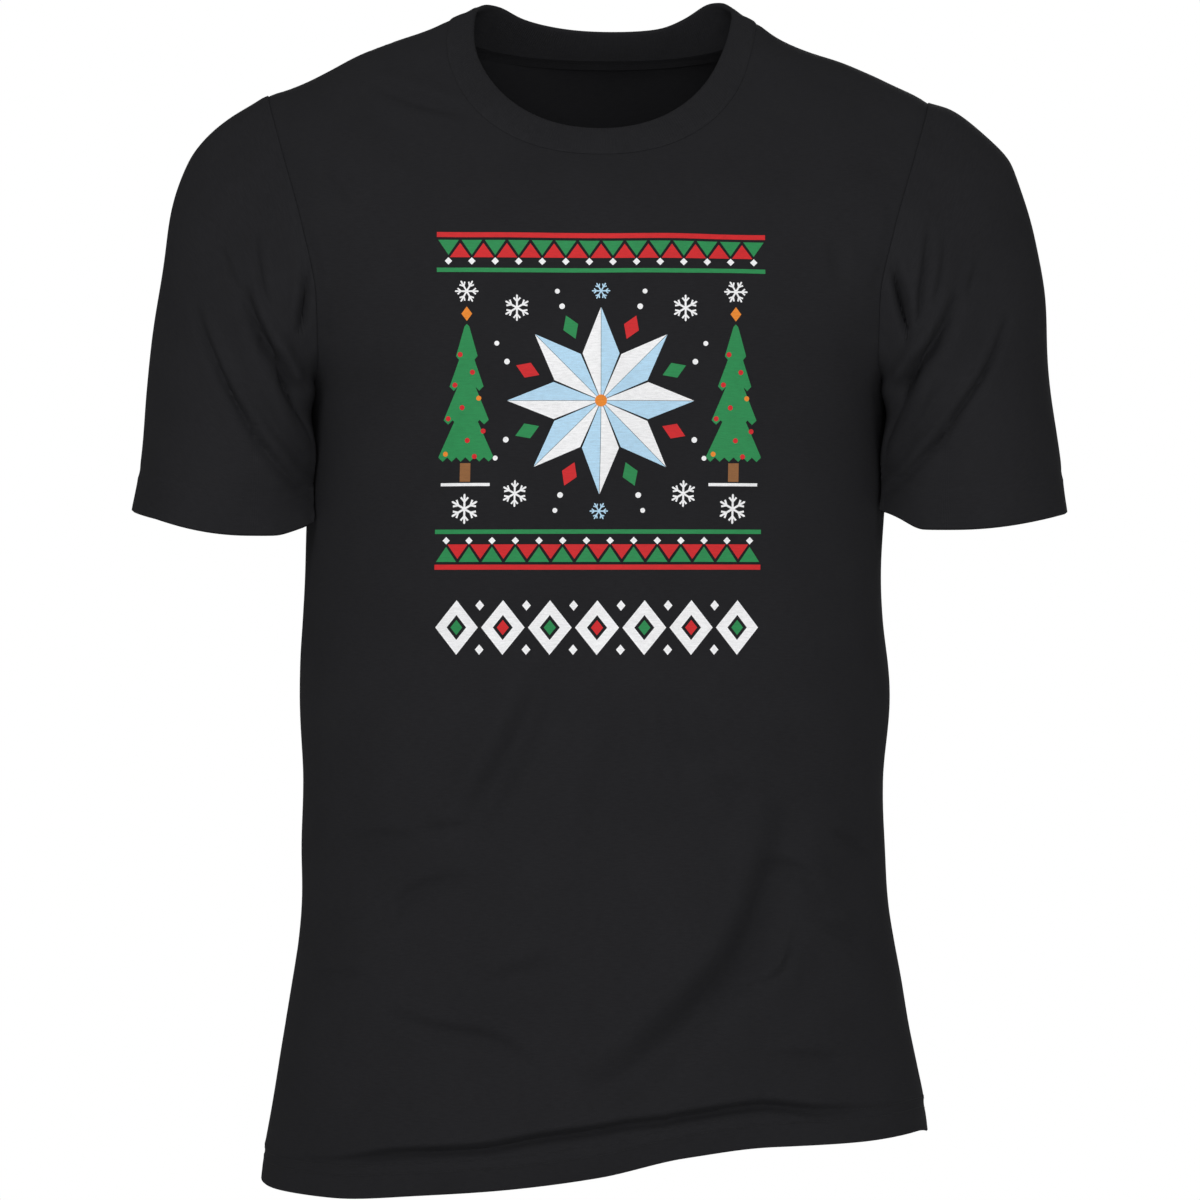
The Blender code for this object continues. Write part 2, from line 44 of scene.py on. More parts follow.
# The front and the back
# Two pieces of light cotton jersey, cut flat and sewn to each other along the shoulders and the sides.
# They lie on the wearer's trunk, hang free below the chest, and are turned up and doubled at the hem.
JERSEY = 0.0009
LOWEST = -0.76
NECK_POINT = -0.0087
SHOULDER_TIP = -0.0575
UNDERARM = -0.245
HALF_WIDTH = [
    (LOWEST, 0.213), (-0.71, 0.207), (-0.676, 0.2025), (-0.627, 0.1925), (-0.577, 0.1845),
    (-0.528, 0.18), (-0.478, 0.1785), (-0.428, 0.181), (-0.379, 0.1785), (-0.329, 0.1782),
    (-0.28, 0.1784), (UNDERARM, 0.1795), (-0.21, 0.205), (-0.17, 0.235), (-0.13, 0.248),
    (-0.094, 0.245), (-0.069, 0.223), (SHOULDER_TIP, 0.204), (-0.0471, 0.182), (-0.0396, 0.1675),
    (-0.032, 0.1515), (-0.0248, 0.131), (-0.0173, 0.1118), (NECK_POINT, 0.0945), (0.0, 0.074),
]
FRONT_DEPTH = [
    (LOWEST, 0.119), (-0.71, 0.118), (-0.62, 0.116), (-0.5, 0.116), (-0.4, 0.118),
    (-0.3, 0.122), (-0.2, 0.122), (-0.16, 0.117), (-0.13, 0.1078), (-0.0994, 0.089),
    (-0.08, 0.0745), (-0.0526, 0.054), (-0.03, 0.038), (NECK_POINT, 0.022), (0.0, 0.016),
]
BACK_DEPTH = [
    (LOWEST, 0.118), (-0.71, 0.117), (-0.62, 0.113), (-0.5, 0.108), (-0.4, 0.11),
    (-0.3, 0.12), (-0.2, 0.127), (-0.14, 0.122), (-0.09, 0.105), (-0.06, 0.089),
    (-0.0242, 0.0625), (NECK_POINT, 0.042), (0.0, 0.033),
]
SQUARENESS = [(LOWEST, 2.3), (-0.6, 2.35), (-0.3, 2.45), (-0.18, 2.2), (-0.1, 2.05), (0.0, 2.0)]
LEAN = [
    (LOWEST, -0.0005), (-0.61, -0.0022), (-0.478, -0.0044), (-0.33, -0.0028), (-0.25, -0.0012),
    (-0.04, -0.001), (0.0, 0.0028),
]
TILT = [(LOWEST, 0.0), (-0.25, 0.0), (-0.1, 0.0105), (0.0, 0.0105)]
ARMHOLE = [
    (UNDERARM, 0.1795), (-0.235, 0.173), (-0.215, 0.169), (-0.185, 0.1692), (-0.145, 0.177),
    (-0.1, 0.1905), (SHOULDER_TIP, 0.204),
]
HEM_FRONT = [
    (-1.0, -0.7235), (-0.83, -0.7247), (-0.62, -0.725), (-0.41, -0.721), (-0.2, -0.7164),
    (0.0, -0.7095), (0.2, -0.6977), (0.41, -0.6919), (0.62, -0.6914), (0.83, -0.6897), (1.0, -0.6945),
]
HEM_BACK = [(-1.0, -0.7235), (-0.5, -0.718), (0.0, -0.708), (0.5, -0.6985), (1.0, -0.6945)]
NECK_HALF_WIDTH, NECK_ROUND = 0.0945, 2.25
NECK_DROP = {-1: 0.0907, 1: 0.0155}
HEM_TURN_UP = [-0.0006, 0.0002, 0.004, 0.01, 0.016, 0.0215]
TURNED_IN = [0.0009, 0.002, 0.002, 0.002, 0.002, 0.002]
FINE = 0.0033
ARMHOLE_STEPS, SHOULDER_STEPS, SIDE_STEPS, HEM_STEPS, NECK_STEPS = 110, 28, 112, 60, 30


def through(table, at):
    """The value at some places of a smooth curve through the table's points."""
    place, value = (np.array(column, float) for column in zip(*table))
    width = np.diff(place)
    slope = np.diff(value) / width
    same_way = slope[:-1] * slope[1:] > 0
    both = np.where(same_way, slope[:-1] + slope[1:], 1.0)
    between = np.where(same_way, 2 * slope[:-1] * slope[1:] / both, 0.0)
    tangent = np.concatenate([slope[:1], between, slope[-1:]])
    at = np.clip(at, place[0], place[-1])
    i = np.clip(np.searchsorted(place, at) - 1, 0, len(width) - 1)
    t = (at - place[i]) / width[i]
    level = value[i] * (1 + 2 * t) * (1 - t) ** 2 + value[i + 1] * t * t * (3 - 2 * t)
    return level + width[i] * (tangent[i] * t * (1 - t) ** 2 - tangent[i + 1] * t * t * (1 - t))


def unit(vectors):
    return vectors / np.maximum(np.linalg.norm(vectors, axis=-1, keepdims=True), 1e-12)


def hump(at, middle, reach):
    return np.exp(-(((at - middle) / reach) ** 2))


def squared(wave, power):
    """A sine or cosine for walking round an oval that is squarer than an ellipse."""
    return np.sign(wave) * abs(wave) ** (2 / power)


def way_along(line):
    """How far each point of a line is from its start."""
    steps = np.linalg.norm(np.diff(line, axis=0), axis=-1)
    return np.concatenate([np.zeros_like(steps[:1]), np.cumsum(steps, axis=0)])


def at_way(line, way, at):
    return np.stack([np.interp(at, way, column) for column in line.T], axis=1)


def slice_sizes(side, z):
    return through(HALF_WIDTH, z), through(FRONT_DEPTH if side < 0 else BACK_DEPTH, z), through(SQUARENESS, z)


def quarter(side, z):
    """For each height, points along the trunk's slice from its middle outwards, and the way along it."""
    half_width, depth, power = (s[:, None] for s in slice_sizes(side, np.atleast_1d(z)))
    turn = np.linspace(0, math.pi / 2, 181)[None, :]
    x = half_width * np.sin(turn) ** (2 / power)
    y = side * depth * np.cos(turn) ** (2 / power)
    way = np.cumsum(np.hypot(np.diff(x), np.diff(y)), axis=1)
    return x, y, np.concatenate([np.zeros((len(way), 1)), way], axis=1)


def read_off(keys, values, at):
    i = np.clip((keys < at[:, None]).sum(1), 1, keys.shape[1] - 1)
    row = np.arange(len(at))
    low, high = keys[row, i - 1], keys[row, i]
    share = np.clip((at - low) / np.maximum(high - low, 1e-12), 0, 1)
    return values[row, i - 1] * (1 - share) + values[row, i] * share


def on_trunk(side, across, z):
    x, y, way = quarter(side, z)
    across, z = np.broadcast_arrays(np.asarray(across, float), z)
    out = abs(across)
    return np.stack([np.sign(across) * read_off(way, x, out), read_off(way, y, out), z], axis=1)


def across_at(side, x, z):
    xs, _, way = quarter(side, z)
    return read_off(xs, way, np.minimum(abs(np.atleast_1d(x)), xs[:, -1]))


def trunk_normals(side, points):
    def level(x, y, z):
        half_width, depth, power = slice_sizes(side, z)
        return (abs(x) / half_width) ** power + (abs(y) / depth) ** power

    steps = np.eye(3) * 1e-5
    return unit(np.stack([level(*(points + s).T) - level(*(points - s).T) for s in steps], axis=1))


HEIGHTS = np.linspace(LOWEST, 0, 800)
FLATNESS = 1 + 0.9 / (1 + np.exp(-(HEIGHTS + 0.09) / 0.012))
DOWN = np.concatenate([[0], np.cumsum(np.diff(HEIGHTS) * FLATNESS[1:])]) + LOWEST


def down_from_height(z):
    return np.interp(z, HEIGHTS, DOWN)


def height_from_down(down):
    return np.interp(down, DOWN, HEIGHTS)


def hung(points):
    """The points where the shirt's crooked hang takes them."""
    moved = points.copy()
    moved[:, 0] += through(LEAN, points[:, 2])
    moved[:, 2] -= through(TILT, points[:, 2]) * points[:, 0]
    return moved


def armhole_line(side):
    turn = np.linspace(0, math.pi, 400)
    z = UNDERARM + (SHOULDER_TIP - UNDERARM) * (1 - np.cos(turn)) / 2
    line = on_trunk(side, across_at(side, through(ARMHOLE, z), z), z)
    line[[0, -1], 1] = 0
    way = way_along(line)
    return at_way(line, way, np.linspace(0, way[-1], ARMHOLE_STEPS + 1))


def neck_line(side, steps=NECK_STEPS):
    turn = np.linspace(0, math.pi, 2 * steps + 1)
    x = NECK_HALF_WIDTH * squared(np.cos(turn), NECK_ROUND)
    z = NECK_POINT - NECK_DROP[side] * np.sin(turn) ** (2 / NECK_ROUND)
    line = on_trunk(side, np.sign(x) * across_at(side, x, z), z)
    line[[0, -1]] = [[NECK_HALF_WIDTH, 0, NECK_POINT], [-NECK_HALF_WIDTH, 0, NECK_POINT]]
    return line


def outermost_line(low, high, steps):
    z = np.linspace(low, high, steps)
    return np.stack([through(HALF_WIDTH, z), 0 * z, z], axis=1)


def tree_of(points):
    tree = KDTree(len(points))
    for i, point in enumerate(points.tolist()):
        tree.insert(point, i)
    tree.balance()
    return tree


def nearest(points, dots):
    tree = tree_of(dots)
    return np.array([tree.find(point)[2] for point in points.tolist()])


def nearness(points, lines):
    """How far each point is from the nearest of some lines."""
    parts = [line[:-1] + np.diff(line, axis=0) * s for line in lines for s in (0, 0.25, 0.5, 0.75)]
    return nearest(points, np.concatenate(parts))


mirror = np.array([-1, 1, 1])
armhole_seams = [armhole_line(s) * m for s in (-1, 1) for m in (1, mirror)]
neck_seams = [neck_line(-1), neck_line(1)]
side_seam, shoulder_seam = outermost_line(LOWEST, UNDERARM, 200), outermost_line(SHOULDER_TIP, NECK_POINT, 60)
plain_seams = [line * m for line in (side_seam, shoulder_seam) for m in (1, mirror)]

# Folds, as seen from the front or the back: (x, z) in millimetres, then the valley's width and depth,
# and how high the ridge above it is for each millimetre of its depth. FOLD_WIDTH and the depths give metres.
FOLD_WIDTH, FRONT_FOLD_DEPTH, BACK_FOLD_DEPTH = 0.00075, 0.0025, 0.0022
FRONT_FOLDS = [
    ([(-26, -404), (-41, -443), (-57, -474), (-80, -510)], 12, 2.6, 0.6),
    (
        [
            (119, -484), (114, -508), (107, -533), (96, -563), (82, -588), (62, -610), (39, -632), (17, -650),
            (-10, -665),
        ],
        16, 3.8, 0.7,
    ),
    ([(43, -436), (50, -452), (59, -468)], 8, 1.1, 0.5),
    ([(70, -472), (83, -480), (96, -490)], 9, 1.1, 0.5),
    ([(27, -420), (18, -447), (8, -480), (4, -530)], 14, 1.0, 0.5),
    ([(100, -524), (118, -527), (136, -540)], 6, 1.2, 0.6),
    ([(121, -560), (112, -586), (98, -595), (72, -599)], 3.5, 0.9, 0.8),
    ([(134, -561), (148, -566), (162, -573)], 6, 1.0, 0.6),
    ([(143, -505), (157, -511), (170, -521)], 5, 1.0, 0.6),
    ([(100, -639), (125, -640), (152, -643)], 5, 0.9, 0.6),
    ([(-112, -506), (-89, -503), (-68, -501)], 4.5, 0.9, 0.6),
    ([(-150, -512), (-124, -508), (-100, -511)], 4.5, 0.8, 0.6),
    ([(-140, -566), (-120, -550), (-101, -538), (-70, -531)], 6, 1.1, 0.6),
    ([(-68, -597), (-43, -588), (-20, -581)], 8, 1.0, 0.5),
    ([(-128, -614), (-95, -623), (-65, -628), (-38, -643)], 6, 1.2, 0.6),
    ([(-172, -596), (-153, -593), (-134, -592)], 5, 0.7, 0.6),
    ([(-138, -52), (-107, -66), (-70, -74)], 7, 1.3, 0.5),
    ([(-171, -104), (-160, -120), (-147, -137)], 6, 0.8, 0.5),
    ([(-184, -126), (-177, -146), (-171, -164), (-167, -186)], 4.0, 2.2, 0.4),
    ([(-160, -201), (-166, -206), (-174, -213), (-181, -229)], 3.5, 1.5, 0.6),
    ([(179, -134), (175, -156), (165, -183)], 4.5, 1.3, 0.5),
    ([(159, -203), (164, -207), (172, -211), (181, -229)], 3.5, 1.5, 0.6),
    ([(139, -146), (143, -162), (145, -182)], 7, 0.8, 0.4),
]
BACK_FOLDS = [
    ([(-166, -196), (-148, -224), (-118, -248)], 8, 2.0, 0.6),
    ([(166, -188), (144, -222), (112, -252)], 8, 2.2, 0.6),
    ([(-150, -446), (-118, -478), (-70, -496), (-22, -500)], 8, 2.6, 0.7),
    ([(158, -432), (120, -466), (78, -484), (30, -492)], 8, 2.4, 0.7),
    ([(-160, -520), (-120, -548), (-66, -562)], 8, 2.0, 0.6),
    ([(150, -512), (112, -540), (60, -556), (10, -560)], 7, 1.8, 0.6),
    ([(-62, -300), (-70, -380), (-58, -460)], 14, 2.0, 0.4),
    ([(74, -290), (66, -360), (72, -430)], 14, 1.8, 0.4),
    ([(-90, -580), (-104, -630), (-96, -690)], 13, 3.0, 0.5),
    ([(40, -570), (30, -620), (46, -680)], 13, 2.6, 0.5),
    ([(120, -590), (132, -630), (124, -672)], 11, 2.0, 0.5),
    ([(-60, -84), (-20, -100), (34, -98), (70, -80)], 9, 1.0, 0.4),
]
# The roll above the hem: the cloth bellies out over the stiffer, doubled edge.
HEM_ROLL = [
    (-1.0, 16.0), (-0.64, 20.4), (-0.45, 25.5), (-0.28, 25.4), (-0.11, 28.6), (0.045, 28.3), (0.17, 24.7),
    (0.365, 24.9), (0.505, 20.3), (0.62, 18.5), (1.0, 15.5),
]
ROLL_DEPTH = [
    (-1.0, 0.3), (-0.66, 1.2), (-0.5, 3.6), (-0.35, 4.6), (0.2, 4.8), (0.45, 4.4), (0.55, 2.8), (0.66, 1.1),
    (1.0, 0.3),
]
ROLL_ON_BACK = 0.55
# Below its stitching the hem turns in towards the wearer, most in the middle: (share, how steeply).
TUCK_TOP = 0.0145
HEM_TUCK = [(-1.0, 0.03), (-0.6, 0.08), (-0.3, 0.34), (0.0, 0.42), (0.3, 0.34), (0.45, 0.1), (1.0, 0.03)]


def smooth_path(path, spacing=0.002):
    """Closely spaced points along a smooth curve through a path's points."""
    way = way_along(path)
    at = np.linspace(0, way[-1], max(12, round(way[-1] / spacing)))
    return np.stack([through(list(zip(way, column)), at) for column in path.T], axis=1)


def laid_on_trunk(side, path):
    flat = smooth_path(np.array(path) / 1000)
    z = flat[:, 1]
    return on_trunk(side, np.sign(flat[:, 0]) * across_at(side, flat[:, 0], z), z)


def fold_relief(points, normals, fold):
    """How far a fold lifts each point: a valley along its line, with a ridge above it."""
    line, width, depth, ridge = fold
    lift = np.zeros(len(points))
    near = ((points > line.min(0) - 5 * width) & (points < line.max(0) + 5 * width)).all(1)
    if not near.any():
        return lift
    p = points[near]
    gap = np.linalg.norm(p[:, None] - line[None], axis=2)
    i = gap.argmin(1)
    along = unit(np.gradient(line, axis=0))[i]
    above = unit(np.cross(normals[near], along))
    above *= np.sign(above[:, 2].mean() or 1)
    off = ((p - line[i]) * above).sum(1) / width
    taper = np.sin(np.pi * np.clip(i / (len(line) - 1), 0, 1)) ** 0.75
    over = np.linalg.norm(p - line[i], axis=1) / width
    fade = np.exp(-np.maximum(over - abs(off) * 1.05, 0))
    shape = ridge * hump(off, 1.75, 1.15) + 0.25 * ridge * hump(off, -2.3, 1.5) - hump(off, 0, 1)
    lift[near] = depth * taper * fade * shape
    return lift


def ready(folds, lay, deep):
    """The folds with their lines laid on the cloth, in metres."""
    return [(lay(path), width * FOLD_WIDTH, depth * deep, ridge) for path, width, depth, ridge in folds]


folds = ready(FRONT_FOLDS, lambda path: laid_on_trunk(-1, path), FRONT_FOLD_DEPTH)
folds += ready(BACK_FOLDS, lambda path: laid_on_trunk(1, path), BACK_FOLD_DEPTH)
# Slow waves that keep the cloth from lying dead flat: (direction and number, start, height in metres).
WAVES = [
    ((38, 21, 27), 0.9, 0.00055), ((-26, 44, 33), 2.1, 0.0005), ((61, -18, 46), 4.0, 0.00035),
    ((17, 52, -58), 0.3, 0.00035), ((-83, 30, 64), 5.2, 0.00018), ((70, 71, 95), 1.4, 0.00016),
    ((20, -31, 12), 3.3, 0.0008), ((-120, 48, 101), 2.6, 0.0001),
]
HELD_STILL = 0.009


def relief(points, normals, held_by, free=1.0):
    """How far the cloth stands out of its smooth form. It lies still beside the seams in held_by."""
    lift = sum(size * np.sin(points @ np.array(wave) + shift) for wave, shift, size in WAVES)
    for fold in folds:
        lift += fold_relief(points, normals, fold)
    d = nearness(points, held_by)
    return lift * free * (1 - hump(d, 0, HELD_STILL)) + seam_relief(d)


def seam_relief(d):
    """A seam is drawn in, and the allowance behind it lifts the cloth for 6 mm on each side."""
    return 0.0001 * hump(d, 0.0048, 0.0026) - 0.00004 * hump(d, 0, 0.0014)


def seam_fill(points, normals):
    """The stiff armhole seam rounds off the corner between the trunk and the sleeve, in front and behind."""
    return 0.0009 * np.exp(-nearness(points, armhole_seams) / 0.004) * normals[:, 1] ** 2


def raw_edge(above_hem, top, height):
    """The hem's inner layer ends at its top, where the cloth steps down."""
    return height * hump(above_hem, top, 0.0012) * (above_hem < top)


def hem_roll(side, above_hem, share):
    """The roll above the hem, from how far each point is above the bottom edge."""
    at = through(HEM_ROLL, share) / 1000
    depth = through(ROLL_DEPTH, share) / 1000 * (1.0 if side < 0 else ROLL_ON_BACK)
    off = (above_hem - at) / 0.003
    valley = np.exp(-(off**2) * np.where(off < 0, 0.45, 1.0))
    ridge = hump(off, 1.7, np.where(off < 1.7, 1.0, 4.2))
    tuck = through(HEM_TUCK, share) * np.maximum(TUCK_TOP - above_hem, 0)
    return depth * (0.85 * ridge - valley) - tuck


def inside(outline, points):
    """Which points are inside the outline, and how far each is from it."""
    a, b = outline, np.roll(outline, -1, axis=0)
    span = b - a
    rise = np.where(span[:, 1] == 0, 1e-12, span[:, 1])
    within, near = [], []
    for block in np.array_split(points, max(1, len(points) // 1500)):
        p = block[:, None, :]
        crosses = (a[:, 1] > p[..., 1]) != (b[:, 1] > p[..., 1])
        left = p[..., 0] < a[:, 0] + span[:, 0] * (p[..., 1] - a[:, 1]) / rise
        share = np.clip(((p - a) * span).sum(-1) / np.maximum((span**2).sum(-1), 1e-18), 0, 1)
        near.append(np.linalg.norm(a + share[..., None] * span - p, axis=-1).min(1))
        within.append((crosses & left).sum(1) % 2 == 1)
    return np.concatenate(within), np.concatenate(near)


def drawn_in(outline, by):
    ahead = np.roll(outline, -1, axis=0) - outline
    way = unit(ahead) + unit(np.roll(ahead, 1, axis=0))
    x, y = outline.T
    turning = np.sign((x * np.roll(y, -1) - np.roll(x, -1) * y).sum())
    return outline + turning * by * unit(np.stack([-way[:, 1], way[:, 0]], axis=1))


def triangulated(points, edges):
    found, _, triangles, *_ = delaunay_2d_cdt([Vector(p) for p in points.tolist()], edges, [], 1, 1e-9)
    return np.array([tuple(p) for p in found]), np.array(triangles)


def round_edges(count, start=0):
    return [(start + i, start + (i + 1) % count) for i in range(count)]


def cut_flat(outline, cell, borders=(0.0014, 0.0031), added=()):
    """Divides a flat outline into small triangles, finer along its edge and at the added points.

    The outline's points come first.
    """
    low, high = outline.min(0), outline.max(0)
    points = []
    for r, down in enumerate(np.arange(low[1], high[1], cell * math.sqrt(3) / 2)):
        across = np.arange(0, high[0] - low[0], cell) + cell / 2 * (r % 2) + low[0]
        points.append(np.stack([across, np.full(len(across), down)], axis=1))
    points = np.concatenate(points)
    within, near = inside(outline, points)
    edge = borders[-1] if borders else 0
    keep = within & (near > edge + 0.55 * cell)
    rings = [drawn_in(outline, b) for b in borders]
    if len(added):
        within, near = inside(outline, added)
        added = added[within & (near > edge + 0.0008)]
        no_depth = ((0, 0), (0, 1))
        keep &= nearest(np.pad(points, no_depth), np.pad(added, no_depth)) > 0.6 * cell
        rings.append(added)
    return triangulated(np.concatenate([outline, *rings, points[keep]]), round_edges(len(outline)))


def hem_height(side, share):
    return through(HEM_FRONT if side < 0 else HEM_BACK, share)


def panel_outline(side):
    """A cut panel's outline, from the +X end of its bottom edge up and round, and that edge by itself."""
    seam_z = np.linspace(SHOULDER_TIP, NECK_POINT, SHOULDER_STEPS + 1)
    share = np.linspace(-1, 1, 2 * HEM_STEPS + 1)[::-1]
    hem_z = hem_height(side, share)
    arm, neck = armhole_line(side), neck_line(side)

    def flat(across, z):
        return np.stack([across, down_from_height(z)], axis=1)

    halves = []
    for end, way in ((0, 1), (-1, -1)):
        side_z = np.linspace(hem_z[end], UNDERARM, SIDE_STEPS + 1)[:-1]
        half = [
            flat(across_at(side, 1.0, side_z), side_z),
            flat(across_at(side, arm[:-1, 0], arm[:-1, 2]), arm[:-1, 2]),
            flat(across_at(side, 1.0, seam_z[:-1]), seam_z[:-1]),
        ]
        halves.append(np.concatenate(half) * [way, 1])
    neck_flat = flat(np.sign(neck[:, 0]) * across_at(side, neck[:, 0], neck[:, 2]), neck[:, 2])
    hem = flat(share * across_at(side, 1.0, hem_z), hem_z)
    return np.concatenate([halves[0], neck_flat, halves[1][::-1], hem[::-1][1:-1]]), hem


def panel_cloth(side, flat):
    """Where points of a cut panel are on the trunk, and which way they face, with every fold in place."""
    z = height_from_down(flat[:, 1])
    points = on_trunk(side, flat[:, 0], z)
    normals = trunk_normals(side, points)
    share = np.clip(flat[:, 0] / across_at(side, 1.0, z), -1, 1)
    above_hem = flat[:, 1] - down_from_height(hem_height(side, share))
    lift = relief(points, normals, armhole_seams + neck_seams)
    lift += seam_relief(nearness(points, plain_seams)) + seam_fill(points, normals)
    lift += hem_roll(side, above_hem, share) + raw_edge(above_hem, HEM_TURN_UP[-1], 0.00035)
    return points, normals, lift


def quads(ids):
    """The corners of every cell between rows of point numbers."""
    return [cell for low, high in zip(ids, ids[1:]) for cell in zip(low, low[1:], high[1:], high)]


def in_scene(name, data):
    thing = bpy.data.objects.new(name, data)
    bpy.context.scene.collection.objects.link(thing)
    return thing


def cloth_piece(name, points, faces, uv, thickness, tube=False):
    """A sheet or tube of cloth with a flat UV map in metres, thickened inwards."""
    mesh = bpy.data.meshes.new(name)
    mesh.from_pydata(points.tolist(), [], faces)
    layer = mesh.uv_layers.new(name="cut")
    corner = np.empty(len(mesh.loops), int)
    mesh.loops.foreach_get("vertex_index", corner)
    layer.data.foreach_set("uv", uv[corner].ravel())
    piece = in_scene(name, mesh)
    bpy.ops.object.select_all(action="DESELECT")
    piece.select_set(True)
    bpy.context.view_layer.objects.active = piece
    mesh.shade_smooth()
    if tube:
        edit = bmesh.new()
        edit.from_mesh(mesh)
        bmesh.ops.remove_doubles(edit, verts=edit.verts, dist=1e-6)
        edit.to_mesh(mesh)
        edit.free()
    wall = piece.modifiers.new("cloth", "SOLIDIFY")
    wall.thickness = thickness
    wall.offset = -1
    bpy.ops.object.modifier_apply(modifier=wall.name)
    piece.data.set_sharp_from_angle(angle=math.radians(48))
    return piece


def facing(points, normals, triangles):
    """The triangles, each turned so that it faces the way its points do."""
    c = points[triangles]
    out = np.cross(c[:, 1] - c[:, 0], c[:, 2] - c[:, 0])
    inward = (out * normals[triangles].sum(1)).sum(1) < 0
    return np.where(inward[:, None], triangles[:, ::-1], triangles)


def body_panel(name, side):
    outline, hem = panel_outline(side)
    share = np.linspace(-1, 1, 161)
    z = hem_height(side, share)
    roll_down = down_from_height(z) + through(HEM_ROLL, share) / 1000
    roll = np.stack([share * across_at(side, 1.0, z), roll_down], axis=1)
    along_roll = np.concatenate([roll + [0, up] for up in np.arange(-0.0055, 0.0095, 0.0011)])
    flat, triangles = cut_flat(outline, FINE, added=along_roll)
    points, normals, lift = panel_cloth(side, flat)
    # The sleeves' own first points are on the armhole, and the panel's edge shares them.
    arm = armhole_line(side)[:-1]
    other = SIDE_STEPS + ARMHOLE_STEPS + 2 * SHOULDER_STEPS + 2 * NECK_STEPS + 1
    points[SIDE_STEPS : SIDE_STEPS + ARMHOLE_STEPS] = arm
    points[other : other + ARMHOLE_STEPS] = (arm * mirror)[::-1]
    worn = points + normals * lift[:, None]
    faces = facing(worn, normals, triangles).tolist()
    # The turned-up layer inside the hem starts from the panel's own bottom edge.
    count = len(outline)
    ids = [[0, *range(count - 1, count - len(hem), -1)]]
    for up, inward in zip(HEM_TURN_UP, TURNED_IN):
        ids.append(list(range(len(worn), len(worn) + len(hem))))
        row, row_normals, row_lift = panel_cloth(side, hem + [0, up])
        worn = np.concatenate([worn, row + row_normals * (row_lift - inward)[:, None]])
        flat = np.concatenate([flat, hem + [0, up]])
    faces += [quad if side < 0 else quad[::-1] for quad in quads(ids)]
    return cloth_piece(name, hung(worn), faces, flat, JERSEY)


front = body_panel("front", -1)
back = body_panel("back", 1)
for panel, node in ((front, "front_panel"), (back, "back_panel")):
    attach(panel, "root")
    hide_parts(node)


def new_group(name, takes, gives):
    """An empty shader group with its sockets. takes holds (name, kind, value), and gives (name, kind)."""
    group = bpy.data.node_groups.new(name, "ShaderNodeTree")
    for label, kind, value in takes:
        group.interface.new_socket(label, in_out="INPUT", socket_type=kind).default_value = value
    for label, kind in gives:
        group.interface.new_socket(label, in_out="OUTPUT", socket_type=kind)
    return group, group.nodes.new("NodeGroupInput"), group.nodes.new("NodeGroupOutput")


def step(group, kind, **inputs):
    """A node of the group. in0, in1 and so on set or link its inputs, and other names are its settings."""
    node = group.nodes.new(kind)
    for key, value in inputs.items():
        if not key.startswith("in"):
            setattr(node, key, value)
        elif isinstance(value, bpy.types.NodeSocket):
            group.links.new(value, node.inputs[int(key[2:])])
        else:
            node.inputs[int(key[2:])].default_value = value
    return node


# Jersey's face is columns of V-shaped loops, painted darker in the grooves between them as shade. A little of
# each thread's fluff stands up from it.
knit, knit_in, knit_out = new_group(
    "knit_face",
    [
        ("Colour", "NodeSocketColor", (0.018, 0.018, 0.02, 1)), ("Across", "NodeSocketFloat", 0.0008),
        ("Along", "NodeSocketFloat", 0.0006), ("Relief", "NodeSocketFloat", 0.3),
        ("Fluff", "NodeSocketFloat", 0.25), ("Rough", "NodeSocketFloat", 0.9),
    ],
    [("Colour", "NodeSocketColor"), ("Rough", "NodeSocketFloat"), ("Normal", "NodeSocketVector")],
)


def calc(operation, *values):
    inputs = {f"in{i}": value for i, value in enumerate(values)}
    return step(knit, "ShaderNodeMath", operation=operation, **inputs).outputs[0]


def times(value, factor, plus=0.0):
    return calc("MULTIPLY_ADD", value, factor, plus)


def noise(place, scale, detail, roughness=0.5):
    return step(knit, "ShaderNodeTexNoise", in0=place, in2=scale, in3=detail, in4=roughness).outputs[0]


cut_plane = step(knit, "ShaderNodeUVMap", uv_map="cut").outputs[0]
across, along, _ = step(knit, "ShaderNodeSeparateXYZ", in0=cut_plane).outputs
solid = step(knit, "ShaderNodeTexCoord").outputs["Object"]
column = calc("ADD", calc("DIVIDE", across, knit_in.outputs["Across"]), times(noise(solid, 420.0, 2.0), 0.5))
valley = calc("ABSOLUTE", calc("SUBTRACT", calc("FRACT", column), 0.5))
slanted = times(valley, 1.6, calc("DIVIDE", along, knit_in.outputs["Along"]))
loop = times(calc("SINE", times(slanted, 2 * math.pi)), 0.5, 0.5)
face_height = calc("MULTIPLY", times(loop, 0.55, 0.45), calc("SINE", times(valley, 2 * math.pi)))
fluff = noise(solid, 2600.0, 3.0, 0.7)
long_way = step(knit, "ShaderNodeCombineXYZ", in0=times(across, 190.0), in1=times(along, 1150.0)).outputs[0]
height = times(fluff, knit_in.outputs["Fluff"], face_height)
bump = step(knit, "ShaderNodeBump", in0=knit_in.outputs["Relief"], in1=0.00018, in3=height)
